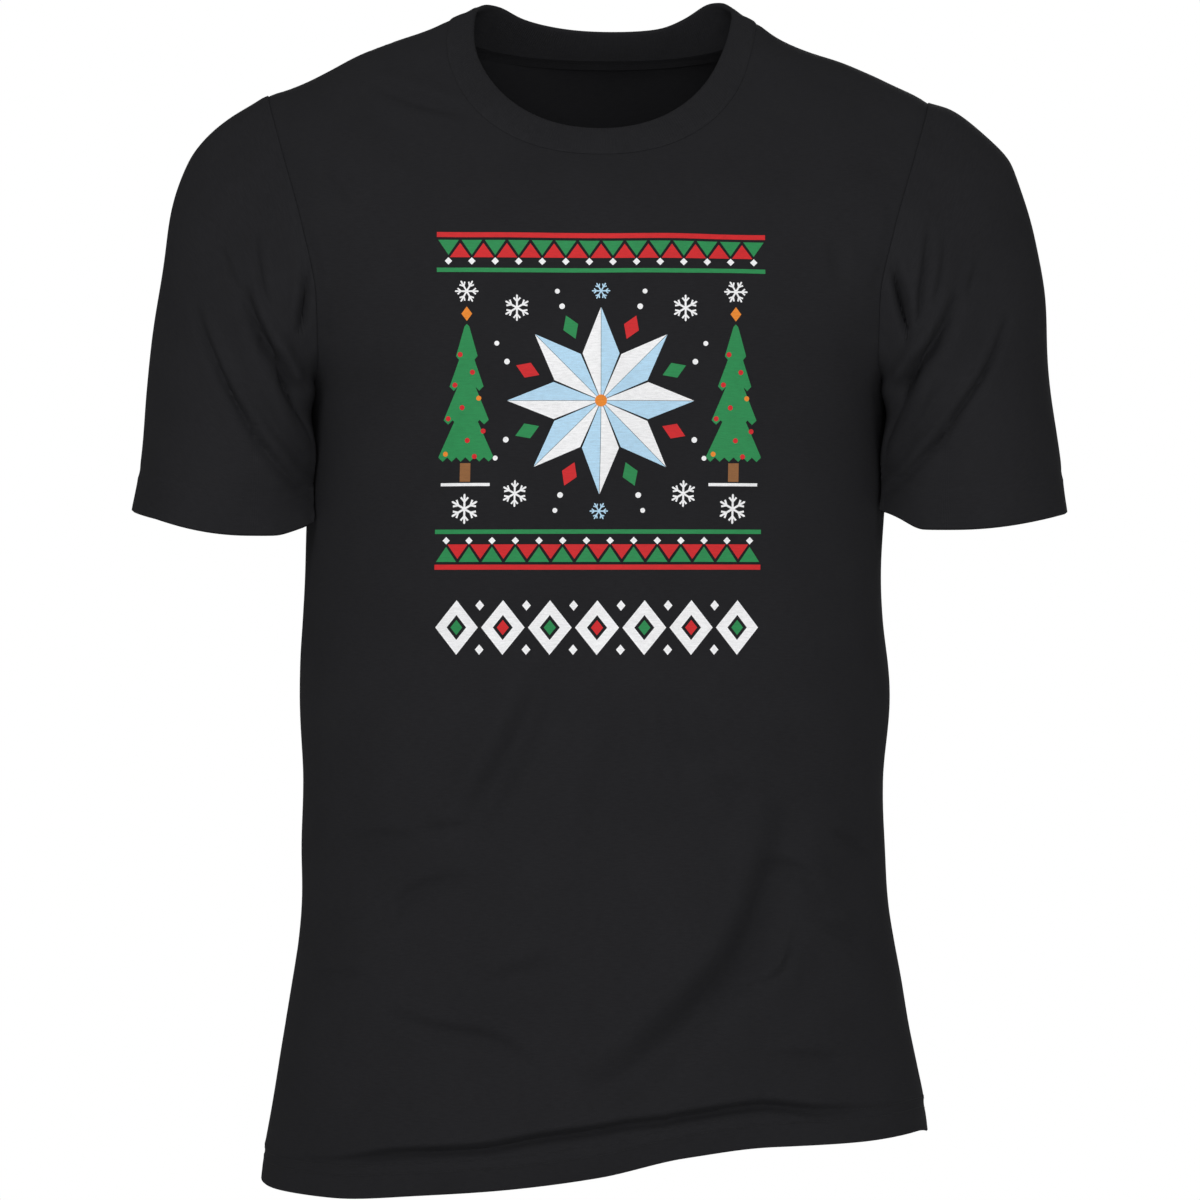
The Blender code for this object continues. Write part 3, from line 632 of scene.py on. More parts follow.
# Painted shade: the colour darkens where the knit's face is low, in the grooves between the loop columns, and
# is lighter on the loops' crowns. The fluff, clouds and slubs after it vary the tone at random.
tone_and_groove_shade = times(face_height, 0.3, 0.8)
cloud, slub = noise(solid, 24.0, 4.0, 0.6), noise(long_way, 1.0, 2.0, 0.6)
for pattern, strength, base in ((fluff, 0.5, 0.75), (cloud, 0.22, 0.89), (slub, 0.44, 0.78)):
    tone_and_groove_shade = calc("MULTIPLY", tone_and_groove_shade, times(pattern, strength, base))
shade = step(knit, "ShaderNodeVectorMath", operation="SCALE", in0=knit_in.outputs["Colour"], in3=tone_and_groove_shade)
rough = times(fluff, 0.12, calc("SUBTRACT", knit_in.outputs["Rough"], 0.06))
for label, value in (("Colour", shade.outputs[0]), ("Rough", rough), ("Normal", bump.outputs[0])):
    knit.links.new(value, knit_out.inputs[label])


def new_material(name):
    """A material's node tree and its surface, with the material itself."""
    material = bpy.data.materials.new(name)
    material.use_nodes = True
    return material, material.node_tree, material.node_tree.nodes["Principled BSDF"]


def cotton(name, colour, across, along, relief, fluff, rough):
    """Cotton cloth with the size of its knit, how much the loops and the fluff show, and how matt it is."""
    material, tree, surface = new_material(name)
    face = tree.nodes.new("ShaderNodeGroup")
    face.node_tree = knit
    for socket, value in zip(face.inputs, ((*colour, 1), across, along, relief, fluff, rough)):
        socket.default_value = value
    for given, taken in (("Colour", "Base Color"), ("Rough", "Roughness"), ("Normal", "Normal")):
        tree.links.new(face.outputs[given], surface.inputs[taken])
    surface.inputs["Specular IOR Level"].default_value = 0.06
    return material


BLACK = (0.0176, 0.0176, 0.0194)
jersey = cotton("black_jersey", BLACK, 0.0009, 0.0007, 0.35, 0.35, 0.95)
front.data.materials.append(jersey)
back.data.materials.append(jersey)

# The sleeves
# Each is one piece of the same jersey, closed along the underarm and set into its armhole.
# It hangs round the upper arm, creased where the arm meets the trunk, and its hem is turned up and doubled.
CUFF_X = {False: 0.2304, True: 0.2256}
CUFF_Y, CUFF_Z = -0.008, -0.3124
CUFF_HALF_WIDTH, CUFF_HALF_DEPTH = 0.0595, 0.062
CUFF_ROUND_OUT, CUFF_ROUND_IN = 2.2, 3.0
CUFF_TURN = -0.25
CUFF_OUTER_RISE = {False: 0.0, True: 0.0012}
CUFF_FRONT_DROP = 0.004
CUFF_SAG = {False: 0.0065, True: 0.01}
CUFF_INNER_RISE = {False: 0.0085, True: 0.0055}
SLEEVE_CLEAR, SLEEVE_SNUG = 0.0026, 0.011
BUNCH, BUNCH_WAY = np.array([0.1796, -0.052, -0.238]), np.array([-0.0052, -0.006, 0.0])
TUCKED, TUCKED_REACH, TUCKED_BY = np.array([0.17, -0.297]), np.array([0.015, 0.022]), 0.01
TUCKED_CLEAR = 0.0014
CUFF_TURN_UP = [-0.0006, 0.0002, 0.005, 0.01, 0.015, 0.0205]
ARM_RADIUS = 0.062
SHOULDER_CORNER, CORNER_RISE = np.array([0.2505, 0.0, -0.095]), {False: 0.0036, True: 0.001}
LEAVE = [(0.93, 0.0, -0.369), (0.8, 0.0, -0.6), (0.9, 0.0, -0.43)]
LEAVE_REACH = [0.092, 0.06, 0.014]
ARRIVE = [(-0.193, 0.0, 0.981), (-0.11, 0.0, 0.994), (-0.03, 0.0, 1.0)]
ARRIVE_REACH = [0.12, 0.065, 0.022]
SLEEVE_FOLD_DEPTH = 0.0014
SLEEVE_FOLDS = {
    True: [
        (
            [
                (-246, -186), (-239, -206), (-230, -226), (-219, -247), (-206, -268), (-193, -285),
                (-181, -297), (-172, -304),
            ],
            4.3, 3.3, 0.5,
        ),
        ([(-215, -178), (-205, -203), (-192, -228), (-184, -246), (-175, -258), (-166, -270)], 6.0, 5.0, 0.8),
        ([(-207, -146), (-203, -175), (-196, -198)], 3.5, 1.3, 0.6),
        ([(-171, -147), (-173, -166), (-175, -187), (-178, -208)], 4.4, 10.5, 0.12),
        ([(-229, -153), (-224, -166), (-217, -181)], 3.5, 0.8, 0.6),
        ([(-204, -240), (-193, -264), (-176, -283)], 5.0, 1.2, 0.5),
    ],
    False: [
        (
            [(249, -192), (238, -220), (221, -248), (206, -270), (191, -287), (181, -297), (173, -304)],
            4.2, 3.1, 0.5,
        ),
        ([(218, -180), (203, -210), (190, -231), (181, -250), (172, -266), (164, -281)], 6.0, 5.0, 0.8),
        ([(199, -138), (196, -160), (193, -185), (191, -210)], 3.5, 2.0, 0.6),
        ([(173, -154), (177, -169), (182, -188), (187, -210)], 4.2, 8.0, 0.15),
        ([(209, -145), (205, -175), (199, -195)], 3.5, 0.9, 0.6),
        ([(230, -160), (226, -171), (222, -184)], 3.5, 0.8, 0.6),
        ([(206, -236), (196, -258), (180, -278)], 5.0, 1.2, 0.5),
    ],
}
SLEEVE_BACK_FOLDS = [
    ([(236, -180), (222, -214), (200, -246), (184, -270)], 5.0, 2.4, 0.7),
    ([(214, -150), (202, -186), (186, -214)], 5.0, 1.8, 0.6),
    ([(256, -226), (240, -262), (214, -292)], 6.0, 1.6, 0.5),
]


def by_turn(turn, values):
    """Values round the sleeve from those at its top, on its flanks and under the arm."""
    high = np.maximum(np.cos(turn), 0)[:, None] ** 2
    low = np.maximum(-np.cos(turn), 0)[:, None] ** 2
    top, flank, under = (np.array(v) for v in values)
    return high * top + np.sin(turn)[:, None] ** 2 * flank + low * under


def eased(share):
    share = np.clip(share, 0, 1)
    return share**2 * (3 - 2 * share)


def trunk_beside(side, points):
    """How far out the trunk is beside each point, and how far each is towards the trunk's front or back."""
    half_width, depth, power = slice_sizes(side, points[:, 2])
    reach = np.clip(side * points[:, 1] / depth, 0, 1)
    return np.minimum(half_width, dict(HALF_WIDTH)[UNDERARM]) * (1 - reach**power) ** (1 / power), reach


def beside_trunk(points, share):
    """The points, pushed out of the trunk and drawn close to it."""
    moved = points.copy()
    for side in (-1, 1):
        trunk, reach = trunk_beside(side, points)
        limit = trunk + SLEEVE_CLEAR * share
        gap = np.maximum(moved[:, 0] - limit, 0)
        gap *= 1 - 0.95 * share * hump(gap, 0, SLEEVE_SNUG)
        here = (side * points[:, 1] >= 0) & (reach < 1)
        moved[:, 0] = np.where(here, limit + gap, moved[:, 0])
    return moved


def on_sleeve(ring, turn, share, mirrored):
    """Points of the sleeve at shares of the way from the armhole to the hem."""
    c, s = np.cos(turn), np.sin(turn)
    power = np.where(c > 0, CUFF_ROUND_OUT, CUFF_ROUND_IN)
    wide, deep = CUFF_HALF_WIDTH * squared(c, power), -CUFF_HALF_DEPTH * squared(s, power)
    low = CUFF_OUTER_RISE[mirrored] * c - CUFF_FRONT_DROP * s - CUFF_SAG[mirrored] * s**2
    low += CUFF_INNER_RISE[mirrored] * eased((np.minimum(turn, 2 * math.pi - turn) - 1.72) / 0.4)
    x = wide * math.cos(CUFF_TURN) - deep * math.sin(CUFF_TURN)
    y = wide * math.sin(CUFF_TURN) + deep * math.cos(CUFF_TURN)
    cuff = np.stack([CUFF_X[mirrored] + x, CUFF_Y + y, CUFF_Z + low], axis=1)
    first = ring + unit(by_turn(turn, LEAVE)) * by_turn(turn, LEAVE_REACH)
    second = cuff + unit(by_turn(turn, ARRIVE)) * by_turn(turn, ARRIVE_REACH)
    t = np.broadcast_to(share, len(ring))[:, None]
    path = (1 - t) ** 3 * ring + 3 * t * (1 - t) ** 2 * first + 3 * t * t * (1 - t) * second + t**3 * cuff
    return beside_trunk(path, np.minimum(t[:, 0] * 8, 1))


def laid_on_cloud(points, normals, toward, path):
    """A line seen from the front or the back, laid on the nearest of the points that face that way."""
    seen = points[normals[:, 1] * toward > 0.4]
    tree = tree_of(seen * [1, 0, 1])
    flat = smooth_path(np.array(path) / 1000)
    depth = [np.mean([seen[j, 1] for _, j, _ in tree.find_n((x, 0, z), 4)]) for x, z in flat.tolist()]
    even = np.convolve(np.pad(depth, 5, mode="edge"), np.ones(11) / 11, mode="valid")
    return np.stack([flat[:, 0], even, flat[:, 1]], axis=1)


def ring_normals(ring):
    """The trunk's outward directions round a ring whose first half is in front."""
    in_front = (np.arange(len(ring)) <= len(ring) // 2)[:, None]
    return np.where(in_front, trunk_normals(-1, ring), trunk_normals(1, ring))


def between_rows(values, row):
    """Each column's value at a place between two of its rows."""
    low = np.minimum(row.astype(int), len(values) - 2)
    part, columns = (row - low)[:, None], np.arange(len(row))
    return values[low, columns] * (1 - part) + values[low + 1, columns] * part


def sleeve(mirrored):
    """A sleeve's rows of points from the armhole to inside its hem, and their places in the flat cloth.

    With them come its outward directions and how far each point is from the armhole.
    """
    ring = np.concatenate([armhole_line(-1)[::-1][:-1], armhole_line(1)[:-1]])
    turn = np.arange(len(ring)) * 2 * math.pi / len(ring)
    shares = np.concatenate([[0, 0.006, 0.014], np.linspace(0.025, 1, 124)])
    grid = np.stack([on_sleeve(ring, turn, s, mirrored) for s in shares])
    normals = unit(np.cross(np.roll(grid, -1, axis=1) - np.roll(grid, 1, axis=1), np.gradient(grid, axis=0)))
    normals[0] = ring_normals(ring)
    normals[1] = unit(normals[0] + normals[1])
    flip = mirror if mirrored else np.ones(3)
    grid, normals = grid * flip, normals * flip
    points, ways = grid.reshape(-1, 3), normals.reshape(-1, 3)
    behind = [([(x * flip[0], z) for x, z in path], *rest) for path, *rest in SLEEVE_BACK_FOLDS]
    for toward, own in ((-1, SLEEVE_FOLDS[mirrored]), (1, behind)):
        folds.extend(ready(own, lambda path: laid_on_cloud(points, ways, toward, path), SLEEVE_FOLD_DEPTH))
    # Where the sleeve is pressed against the trunk it has no folds.
    free = np.where(ways[:, 0] * flip[0] < 0, eased((abs(ways[:, 1]) - 0.3) / 0.5), 1)
    lift = relief(points, ways, armhole_seams, free) + seam_fill(points, ways)
    from_corner = np.linalg.norm(points - SHOULDER_CORNER * flip, axis=1)
    lift += CORNER_RISE[mirrored] * np.exp(-((from_corner / 0.017) ** 1.6))
    lift = lift.reshape(grid.shape[:2])
    lift += seam_relief(abs(turn - math.pi) * ARM_RADIUS)[None]
    along = way_along(grid)
    above_hem = along[-1] - along
    lift += raw_edge(above_hem, CUFF_TURN_UP[-1], 0.0003) - 0.0004 * hump(above_hem, 0.0245, 0.0035)
    worn = grid + normals * lift[..., None]
    # The cloth bunches forward under the arm.
    near = hump(np.linalg.norm(grid - BUNCH * flip, axis=2), 0, 0.015)
    near *= 1 - hump(nearness(points, armhole_seams).reshape(near.shape), 0, 0.006)
    worn += near[..., None] * BUNCH_WAY * flip
    # Lower down, its front falls back into the gap beside the trunk.
    off = (grid[..., [0, 2]] * [flip[0], 1] - TUCKED) / TUCKED_REACH
    before = worn.copy()
    worn[..., 1] += TUCKED_BY * np.exp(-(off**2).sum(2)) * np.clip(-grid[..., 1] / 0.05, 0, 1) ** 2
    beside = worn.reshape(-1, 3) * flip
    clear = trunk_beside(-1, beside)[0] + TUCKED_CLEAR
    tucked = (off[..., 1].ravel() < 2) & (beside[:, 1] < -0.03) & (beside[:, 0] < 0.2)
    beside[:, 0] = np.where(tucked, np.maximum(beside[:, 0], clear), beside[:, 0])
    worn = (beside * flip).reshape(worn.shape)
    rows, shift = list(worn), worn - before
    for up, inward in zip(CUFF_TURN_UP, TURNED_IN):
        share = 1 - up / along[-1]
        base = on_sleeve(ring, turn, np.minimum(share, 1), mirrored) * flip
        base[:, 2] += min(up, 0)
        row = np.interp(share, shares, np.arange(len(shares)))
        way, raised, shifted = (between_rows(values, row) for values in (normals, lift[..., None], shift))
        rows.append(base + way * (raised - inward) + shifted)
    turned_up = along[-1].mean() + np.array([0.001, 0.002, 0.007, 0.012, 0.017, 0.022])
    height = np.concatenate([along.mean(1), turned_up])
    return np.stack(rows), turn * ARM_RADIUS, height, normals, along


def tube_piece(name, rows, around, height, thickness, inside_out):
    """A cloth tube from rows of points, with its seam in the UV map where the rows begin."""
    closed = np.concatenate([rows, rows[:, :1]], axis=1)
    uv = np.stack(np.meshgrid(np.append(around, around[-1] + around[1]), height), axis=2).reshape(-1, 2)
    cells = quads(np.arange(len(uv)).reshape(closed.shape[:2]).tolist())
    faces = [(b, c, d, a) if inside_out else (a, d, c, b) for a, b, c, d in cells]
    return cloth_piece(name, hung(closed.reshape(-1, 3)), faces, uv, thickness, tube=True)


sleeve_shapes = {}
for mirrored, side in ((False, "right"), (True, "left")):
    rows, around, height, *rest = sleeve(mirrored)
    sleeve_shapes[side] = rows, *rest
    piece = tube_piece(f"sleeve_{side}", rows, around, height, JERSEY, mirrored)
    piece.data.materials.append(jersey)
    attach(piece, "root")
    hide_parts(f"sleeve_{side}_side")

# The collar
# A strip of fine rib, folded in two along its length and stretched a little as it is sewn to the neck.
# It stands on the seam and leans in to the wearer's neck.
RIB_LAYER = 0.0008
COLLAR_HALF_WIDTH, COLLAR_ROUND = 0.0801, 2.15
COLLAR_FRONT_Y, COLLAR_BACK_Y = -0.0765, 0.055
COLLAR_SIDE_TOP, COLLAR_FRONT_TOP = -0.0011, -0.0831
# The back's top edge, by degrees from the side, on the viewer's right and left.
COLLAR_BACK_TOP = {
    False: [
        (0, -0.0011), (12, 0.0024), (25, 0.0071), (35, 0.0076), (50, 0.0004), (57, -0.0033),
        (65, -0.0065), (80, -0.008), (90, -0.0082),
    ],
    True: [
        (0, -0.0011), (12, 0.0009), (25, 0.0045), (35, 0.0042), (50, -0.0015), (65, -0.0053), (80, -0.0076),
        (90, -0.0082),
    ],
}
COLLAR_SHOWS = 0.017
RIBS = 330


def neck_ring(steps):
    return np.concatenate([neck_line(-1, steps)[:-1], neck_line(1, steps)[::-1][:-1]])


def collar_ring(steps):
    turn = np.arange(4 * steps) * math.pi / (2 * steps)
    in_front = turn < math.pi
    x = COLLAR_HALF_WIDTH * squared(np.cos(turn), COLLAR_ROUND)
    out = abs(np.sin(turn)) ** (2 / COLLAR_ROUND)
    y = np.where(in_front, COLLAR_FRONT_Y * out, COLLAR_BACK_Y * out)
    front_top = COLLAR_SIDE_TOP + (COLLAR_FRONT_TOP - COLLAR_SIDE_TOP) * out
    off_side = np.degrees(np.arccos(np.clip(abs(np.cos(turn)), 0, 1)))
    right, left = (through(COLLAR_BACK_TOP[on_left], off_side) for on_left in (False, True))
    back_top = np.where(x < 0, left, right)
    z = np.where(in_front, front_top, back_top)
    # The rib bends evenly where its front begins to fall from the shoulder.
    reach = steps // 10
    bend = np.hanning(2 * reach + 3)[1:-1]
    z = np.convolve(np.pad(z, reach, mode="wrap"), bend / bend.sum(), mode="valid")
    return np.stack([x, y, z], axis=1)


def neck_ways(ring, top):
    """The collar's outward directions, and those of the neck seam between it and the trunk."""
    around = np.roll(ring, -1, axis=0) - np.roll(ring, 1, axis=0)
    own = unit(np.cross(top - ring, around))
    trunk = ring_normals(ring)
    own *= np.sign((own * trunk).sum(1))[:, None]
    return own, unit(own + trunk)


ring, top = neck_ring(RIBS), collar_ring(RIBS)
own, seam = neck_ways(ring, top)
rib_wave = np.cos(np.arange(len(ring)) * math.pi / 2)
half = 0.00095
# The folded strip's section, up the outside, over the fold and down inside: (share of its height, way out).
section = [(s * 0.94, 0.0) for s in (0, 0.06, 0.14, 0.28, 0.45, 0.62, 0.78, 0.9, 1)]
over_the_fold = np.radians([30, 60, 90, 120, 150])
section += [(0.94 + 0.06 * math.sin(a), -half * (1 - math.cos(a))) for a in over_the_fold]
section += [(s, -2 * half) for s in (0.94, 0.8, 0.6, 0.4, 0.2, 0.0)]
rows = []
for s, off in section:
    outer = off > -half
    crown = 0.0007 * math.sin(math.pi * s) * (1 if outer else -0.4)
    rib = 0.00011 * rib_wave * min(1, s * 12) * (1 if outer else -1)
    sink = -0.0005 * hump(s, 0, 0.06) * (off == 0)
    way = unit(seam * (1 - s) + own * s)
    rows.append(ring + (top - ring) * s + way * (off + crown + sink + rib)[:, None])
rows = np.stack(rows)
around = np.arange(len(ring)) * 0.5 / len(ring)
heights = way_along(np.array(section) * [COLLAR_SHOWS, 1])
collar = tube_piece("collar_rib", rows, around, heights, RIB_LAYER, True)
rib_cloth = cotton("black_rib", BLACK, 0.00075, 0.0006, 0.25, 0.3, 0.93)
collar.data.materials.append(rib_cloth)
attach(collar, "root")
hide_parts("collar")

# The neck tape
# A narrow tape of cotton twill that covers the raw neck seam inside, from one shoulder to the other.
# The stitching that holds down both its edges is not drawn.
TAPE = 0.0006
TAPE_LENGTH, TAPE_WIDTH = 0.25, 0.011
INSIDE_BACK, INSIDE_COLLAR = 0.00205, 0.0024
steps = 100
ring, top = neck_ring(steps), collar_ring(steps)
own, seam = neck_ways(ring, top)
behind = np.arange(2 * steps + 3, 4 * steps - 2)
up = unit(top - ring)[behind]
down = unit(np.cross(seam, np.roll(ring, -1, axis=0) - np.roll(ring, 1, axis=0)))[behind]
down *= -np.sign((down * up).sum(1))[:, None]
tape_rows = []
for reach in (0.0062, 0.005, 0.003, 0.0012):
    low = ring[behind] + down * reach
    half_width, depth, power = slice_sizes(1, low[:, 2])
    level = (abs(low[:, 0]) / half_width) ** power + (low[:, 1] / depth) ** power
    low[:, :2] /= (level ** (1 / power))[:, None]
    tape_rows.append(low - trunk_normals(1, low) * INSIDE_BACK)
for reach in (0.0, 0.0016, 0.0034, 0.0046):
    tape_rows.append(ring[behind] - seam[behind] * INSIDE_COLLAR + up * reach)
tape_rows = np.stack(tape_rows)
count, columns = tape_rows.shape[:2]
tape_flat = np.meshgrid(np.linspace(0, TAPE_LENGTH, columns), np.linspace(0, TAPE_WIDTH, count))
tape_faces = quads(np.arange(count * columns).reshape(count, columns).tolist())
tape_uv = np.stack(tape_flat, axis=2).reshape(-1, 2)
tape = cloth_piece("tape", hung(tape_rows.reshape(-1, 3)), tape_faces, tape_uv, TAPE)
twill = cotton("black_twill", BLACK, 0.0014, 0.0011, 0.5, 0.2, 0.9)
tape.data.materials.append(twill)
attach(tape, "root")
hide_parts("neck_tape")

# The print on the chest
# Six colours of ink printed on the front panel, each a film as thin as paint that follows the knit under it.
# The pattern is a plain winter border: a star between two fir trees, snowflakes, toothed bands and diamonds.
INK = 0.00009
OVER_THE_CLOTH = 0.00006
PRINTED_LAST, OVER_THE_REST = ("red", "orange"), 0.00005
PRINT_MIDDLE, PRINT_TOP = 0.0018, -0.1487
STAR_MIDDLE = -100
BAUBLES = {
    "red": [
        (-4, -72.5), (3.5, -83), (-7, -90.5), (-2.5, -104), (-11, -110.5), (10.5, -118), (1, -123.5),
        (5.5, -133),
    ],
    "orange": [(7.5, -98.5), (-12.5, -131.5)],
}
TREE_TIERS = ((13, -76, -56), (20.5, -94, -69), (27.5, -114, -86), (34, -136, -105))
INK_COLOURS = {
    "white": (0.88, 0.88, 0.89), "ice": (0.45, 0.68, 0.86), "red": (0.6, 0.012, 0.016),
    "green": (0.015, 0.24, 0.07), "orange": (0.8, 0.24, 0.02), "brown": (0.26, 0.11, 0.035),
}


def placed(shape, u, v, turn=0.0, size=1.0):
    """A shape's outlines, turned by some degrees, scaled and moved, in millimetres."""
    c, s = math.cos(math.radians(turn)) * size, math.sin(math.radians(turn)) * size
    return [[(u + c * x - s * y, v + s * x + c * y) for x, y in outline] for outline in shape]


def bar(u, v, wide, high):
    return [[(u + wide * x / 2, v + high * y / 2) for x, y in ((-1, -1), (1, -1), (1, 1), (-1, 1))]]


def diamond(u, v, wide, high, hole=0.0):
    corners = ((-1, 0), (0, -1), (1, 0), (0, 1))
    return [[(u + wide * k * x / 2, v + high * k * y / 2) for x, y in corners] for k in (1, hole) if k]


def disc(u, v, radius, corners=14):
    turns = np.arange(corners) * 2 * math.pi / corners
    return [[(u + radius * math.cos(a), v + radius * math.sin(a)) for a in turns]]


def snowflake(u, v, radius, turn=0.0):
    """One outline round a flake's six arms, each with a pair of branches."""
    arm = [(0.12, 0.07), (0.46, 0.07), (0.72, 0.3), (0.8, 0.19), (0.63, 0.07), (0.93, 0.07), (1.0, 0.0)]
    arm += [(x, -y) for x, y in reversed(arm[:-1])]
    outline = [point for k in range(6) for point in placed([arm[::-1]], 0, 0, 60 * k)[0]]
    return placed([outline], u, v, turn, radius)


def kite_halves(radius, gap):
    """The two halves of one point of an eight-point star, drawn in by a gap all round."""
    side = radius / (2 * math.cos(math.pi / 8))
    knee = (side * math.cos(math.pi / 8), side * math.sin(math.pi / 8))
    halves = []
    for way in (1, -1):
        corners = np.array([(0, 0), (radius, 0), (knee[0], way * knee[1])])
        halves.append([tuple(p) for p in drawn_in(corners, gap * 0.5)])
    return halves


def tier(u, wide, low, high, teeth):
    """One tier of a fir tree, with a toothed lower edge."""
    left, tooth = u - wide / 2, wide / teeth
    edge = [(left + tooth * j / 2, low + (0 if j % 2 else 2.6)) for j in range(2 * teeth + 1)]
    return [edge + [(u + wide * 0.11, high), (u, high + 1.5), (u - wide * 0.11, high)]]


def winter_print():
    """Every shape of the print by its colour, in millimetres right of its middle and down from its top."""
    ink = {colour: [] for colour in INK_COLOURS}

    def add(colour, shape):
        ink[colour].append(shape)

    for top, way in ((0, -1), (-200, 1)):
        add("red", bar(0, top + way * 1.5, 196, 3.0))
        add("green", bar(0, top + way * 22.5, 196, 2.6))
        for colour, first, count, base, tip in (("green", -91, 14, 4.6, 13.6), ("red", -84, 13, 15.0, 6.4)):
            for u in first + 14 * np.arange(count):
                foot = top + way * base
                add(colour, [[(u - 6.2, foot), (u + 6.2, foot), (u, top + way * tip)]])
        for u in -91 + 14 * np.arange(14):
            add("white", diamond(u, top + way * 17.2, 4.4, 4.4))
    white_half, ice_half = kite_halves(56, 1.3)
    for k in range(8):
        add("white", placed([white_half], 0, STAR_MIDDLE, 45 * k))
        add("ice", placed([ice_half], 0, STAR_MIDDLE, 45 * k))
        across, down = math.cos(math.radians(45 * k + 22.5)), math.sin(math.radians(45 * k + 22.5))
        between = placed(diamond(0, 0, 9.5, 15), 47 * across, STAR_MIDDLE + 47 * down, 45 * k - 67.5)
        add("red" if k % 2 else "green", between)
        add("white", disc(60.5 * across, STAR_MIDDLE + 60.5 * down, 1.7))
    add("orange", disc(0, STAR_MIDDLE, 3.6, 20))
    for u in (-80, 80):
        for teeth, (wide, low, high) in enumerate(TREE_TIERS, 3):
            add("green", tier(u, wide, low, high, teeth))
        add("brown", bar(u, -142.4, 6.4, 11.0))
        add("orange", diamond(u, -48.5, 6.5, 8.5))
        for colour, baubles in BAUBLES.items():
            for x, y in baubles:
                add(colour, disc(u + x, y, 1.55, 10))
        add("white", bar(u, -149.6, 30, 1.8))
        add("white", snowflake(u, -164, 9.0, 30))
        add("white", snowflake(u, -35.2, 7.2))
    for v, ice_v, dot_v, low_v in ((-45, -34.8, -35, -66), (-155, -165.4, -165, -134)):
        add("ice", snowflake(0, ice_v, 5.5))
        for way in (-1, 1):
            add("white", snowflake(way * 50, v, 8.0, 30))
            add("white", disc(way * 26, dot_v, 1.5, 10))
            add("white", disc(way * 62, low_v, 1.5, 10))
    for k in range(7):
        u = -84 + 28 * k
        add("white", diamond(u, -234.3, 26, 32.4, 0.46))
        add("red" if k % 2 else "green", diamond(u, -234.3, 7.2, 9.0))
    for u in -70 + 28 * np.arange(6):
        add("white", diamond(u, -221.2, 5.2, 6.2))
        add("white", diamond(u, -247.4, 5.2, 6.2))
    return ink


def stepped(outline, longest=0.0035):
    """The outline with points added along its long edges."""
    points = []
    for a, b in zip(outline, np.roll(outline, -1, axis=0)):
        count = max(1, math.ceil(np.linalg.norm(b - a) / longest))
        points += [a + (b - a) * j / count for j in range(count)]
    return np.array(points)


def cut_shape(outlines):
    """Triangles that fill the first outline, less those inside the others."""
    rings = [stepped(np.array(outline) / 1000) for outline in outlines]
    if len(rings) == 1:
        return cut_flat(rings[0], 0.004, ())
    edges = []
    for ring in rings:
        edges += round_edges(len(ring), len(edges))
    flat, triangles = triangulated(np.concatenate(rings), edges)
    middles = flat[triangles].mean(1)
    for hole in rings[1:]:
        keep = ~inside(hole, middles)[0]
        triangles, middles = triangles[keep], middles[keep]
    return flat, triangles


def ink_film(colour, shapes):
    flat, faces = np.empty((0, 2)), np.empty((0, 3), int)
    for shape in shapes:
        shape_flat, triangles = cut_shape(shape)
        faces = np.concatenate([faces, triangles + len(flat)])
        flat = np.concatenate([flat, shape_flat])
    flat += [PRINT_MIDDLE, down_from_height(PRINT_TOP)]
    points, normals, lift = panel_cloth(-1, flat)
    over = OVER_THE_CLOTH + (OVER_THE_REST if colour in PRINTED_LAST else 0)
    points = points + normals * (lift + over + INK)[:, None]
    film = cloth_piece(f"print_{colour}", hung(points), facing(points, normals, faces).tolist(), flat, INK)
    material = cotton(f"ink_{colour}", INK_COLOURS[colour], 0.0009, 0.0007, 0.22, 0.12, 0.62)
    material.node_tree.nodes["Principled BSDF"].inputs["Specular IOR Level"].default_value = 0.3
    film.data.materials.append(material)
    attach(film, "root")


for colour, shapes in winter_print().items():
    ink_film(colour, shapes)

# The hems' stitching
# Two rows of black polyester thread hold each turned-up hem to the cloth above it.
# Each stitch is a short bow of thread that dips into the knit at its ends.
STITCH, THREAD = 0.0028, 0.00034
HEM_ROWS = {"low": 0.0135, "high": 0.0192}


def stitch_row(name, line, ways):
    """A closed row of stitches along a line that lies on the cloth."""
    line, ways = np.concatenate([line, line[:1]]), np.concatenate([ways, ways[:1]])
    way = way_along(line)
    count = round(way[-1] / STITCH)
    verts, faces = [], []
    for k in range(count):
        at = (k + np.array([0.06, 0.18, 0.5, 0.82, 0.94])) * way[-1] / count
        middle, out = at_way(line, way, at), unit(at_way(ways, way, at))
        across = unit(np.cross(out, np.gradient(middle, axis=0)))
        thick = THREAD / 2 * np.array([0.35, 1, 1.1, 1, 0.35])
        raised = np.array([-0.9, 0.25, 0.5, 0.25, -0.9]) * THREAD / 2
        ids = (len(verts) + np.arange(30)).reshape(5, 6)
        for j in range(5):
            for a in np.arange(6) * math.pi / 3:
                bow = out[j] * (raised[j] + thick[j] * math.sin(a))
                verts.append(middle[j] + bow + across[j] * thick[j] * math.cos(a))
        faces += quads(np.pad(ids, ((0, 0), (0, 1)), mode="wrap").tolist())
        faces += [ids[0, ::-1].tolist(), ids[4].tolist()]
    mesh = bpy.data.meshes.new(name)
    mesh.from_pydata(np.array(verts).tolist(), [], faces)
    mesh.shade_smooth()
    piece = in_scene(name, mesh)
    piece.data.materials.append(thread)
    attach(piece, "root")


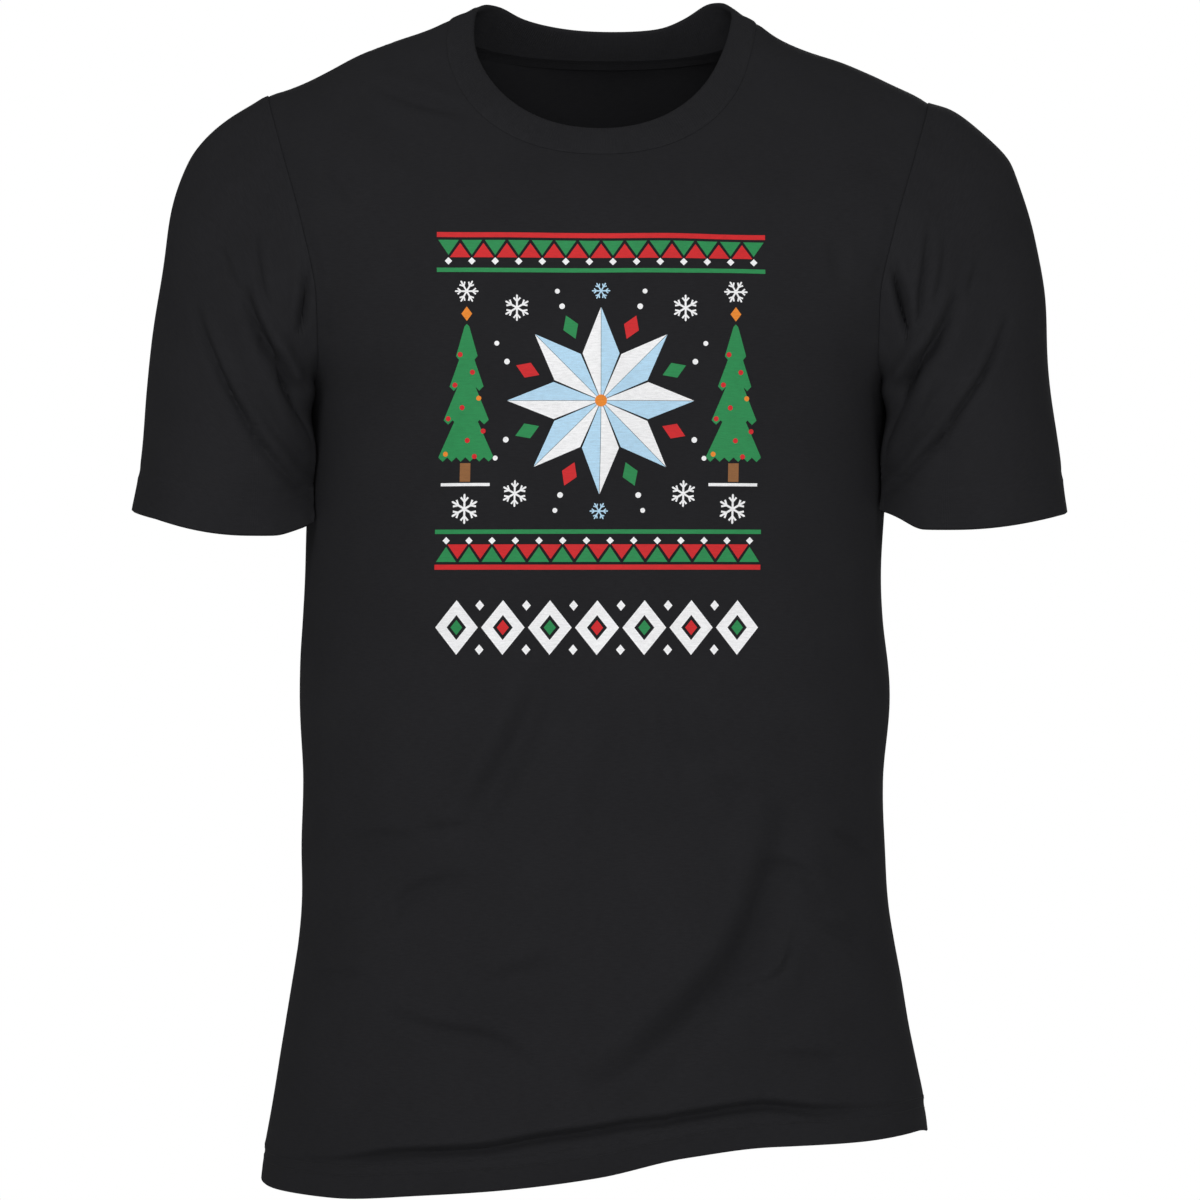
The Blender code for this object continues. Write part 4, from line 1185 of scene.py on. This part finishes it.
thread, tree, spun = new_material("black_thread")
strands = tree.nodes.new("ShaderNodeTexNoise")
strands.inputs["Scale"].default_value = 3000.0
tree.links.new(tree.nodes.new("ShaderNodeTexCoord").outputs["Object"], strands.inputs["Vector"])
ramp = tree.nodes.new("ShaderNodeValToRGB")
ramp.color_ramp.elements[0].color = (0.008, 0.008, 0.009, 1)
ramp.color_ramp.elements[1].color = (0.02, 0.02, 0.022, 1)
tree.links.new(strands.outputs[0], ramp.inputs[0])
tree.links.new(ramp.outputs[0], spun.inputs["Base Color"])
spun.inputs["Roughness"].default_value = 0.7
spun.inputs["Specular IOR Level"].default_value = 0.2

for label, up in HEM_ROWS.items():
    line, ways = [], []
    for side in (-1, 1):
        points, normals, lift = panel_cloth(side, panel_outline(side)[1] + [0, up])
        line.append(hung(points + normals * lift[:, None])[::-side][:-1])
        ways.append(normals[::-side][:-1])
    stitch_row(f"hem_stitches_{label}", np.concatenate(line), np.concatenate(ways))
    for side, (rows, normals, along) in sleeve_shapes.items():
        row = np.array([np.interp(way[-1] - up * 0.95, way, np.arange(len(way))) for way in along.T])
        ways = normals[row.astype(int), np.arange(len(row))]
        stitch_row(f"cuff_stitches_{label}_{side}", hung(between_rows(rows, row)), ways)

# The studio
# A pale floor stands below the shirt, in an even white surround.
# Large soft lights stand in front, one high on the left and one at each side, and one is behind for the back.
bpy.ops.mesh.primitive_circle_add(vertices=96, radius=4.4, fill_type="NGON", location=(0, 0, -1.42))
floor = bpy.context.object
floor.name = "floor"
paint, _, coat = new_material("pale_floor")
coat.inputs["Base Color"].default_value = (0.86, 0.86, 0.86, 1)
coat.inputs["Roughness"].default_value = 0.9
floor.data.materials.append(paint)

world = bpy.data.worlds.new("surround")
bpy.context.scene.world = world
world.use_nodes = True
nodes, links = world.node_tree.nodes, world.node_tree.links
rays, mix, glow = (nodes.new("ShaderNode" + kind) for kind in ("LightPath", "MixShader", "Background"))
for shader, strength in ((nodes["Background"], 1.0), (glow, 0.3)):
    shader.inputs["Color"].default_value = (1, 1, 1, 1)
    shader.inputs["Strength"].default_value = strength
links.new(rays.outputs["Is Camera Ray"], mix.inputs[0])
links.new(glow.outputs[0], mix.inputs[1])
links.new(nodes["Background"].outputs[0], mix.inputs[2])
links.new(mix.outputs[0], nodes["World Output"].inputs["Surface"])

for name, place, aim_height, size, power in (
    ("key", (-0.9, -1.9, 1.6), -0.35, 1.0, 18),
    ("front", (0.3, -3.0, 0.0), -0.3, 1.4, 26),
    ("right", (1.9, -1.7, 0.3), -0.35, 1.2, 10),
    ("left", (-1.9, -1.7, 0.3), -0.35, 1.2, 8),
    ("back", (0.5, 3.0, 0.9), -0.35, 1.6, 40),
):
    lamp = bpy.data.lights.new(name, "AREA")
    lamp.shape = "DISK"
    lamp.size = size
    lamp.energy = power
    holder = in_scene(name, lamp)
    holder.location = place
    holder.rotation_euler = (Vector((0, 0, aim_height)) - Vector(place)).to_track_quat("-Z", "Y").to_euler()

lens = bpy.data.cameras.new("camera")
lens.lens = 130.8
lens.sensor_width = 36
camera = in_scene("camera", lens)
camera.location = (0, -2.7, -0.3666)
camera.rotation_euler = (math.pi / 2, 0, 0)
bpy.context.scene.camera = camera
bpy.context.scene.view_settings.view_transform = "Standard"
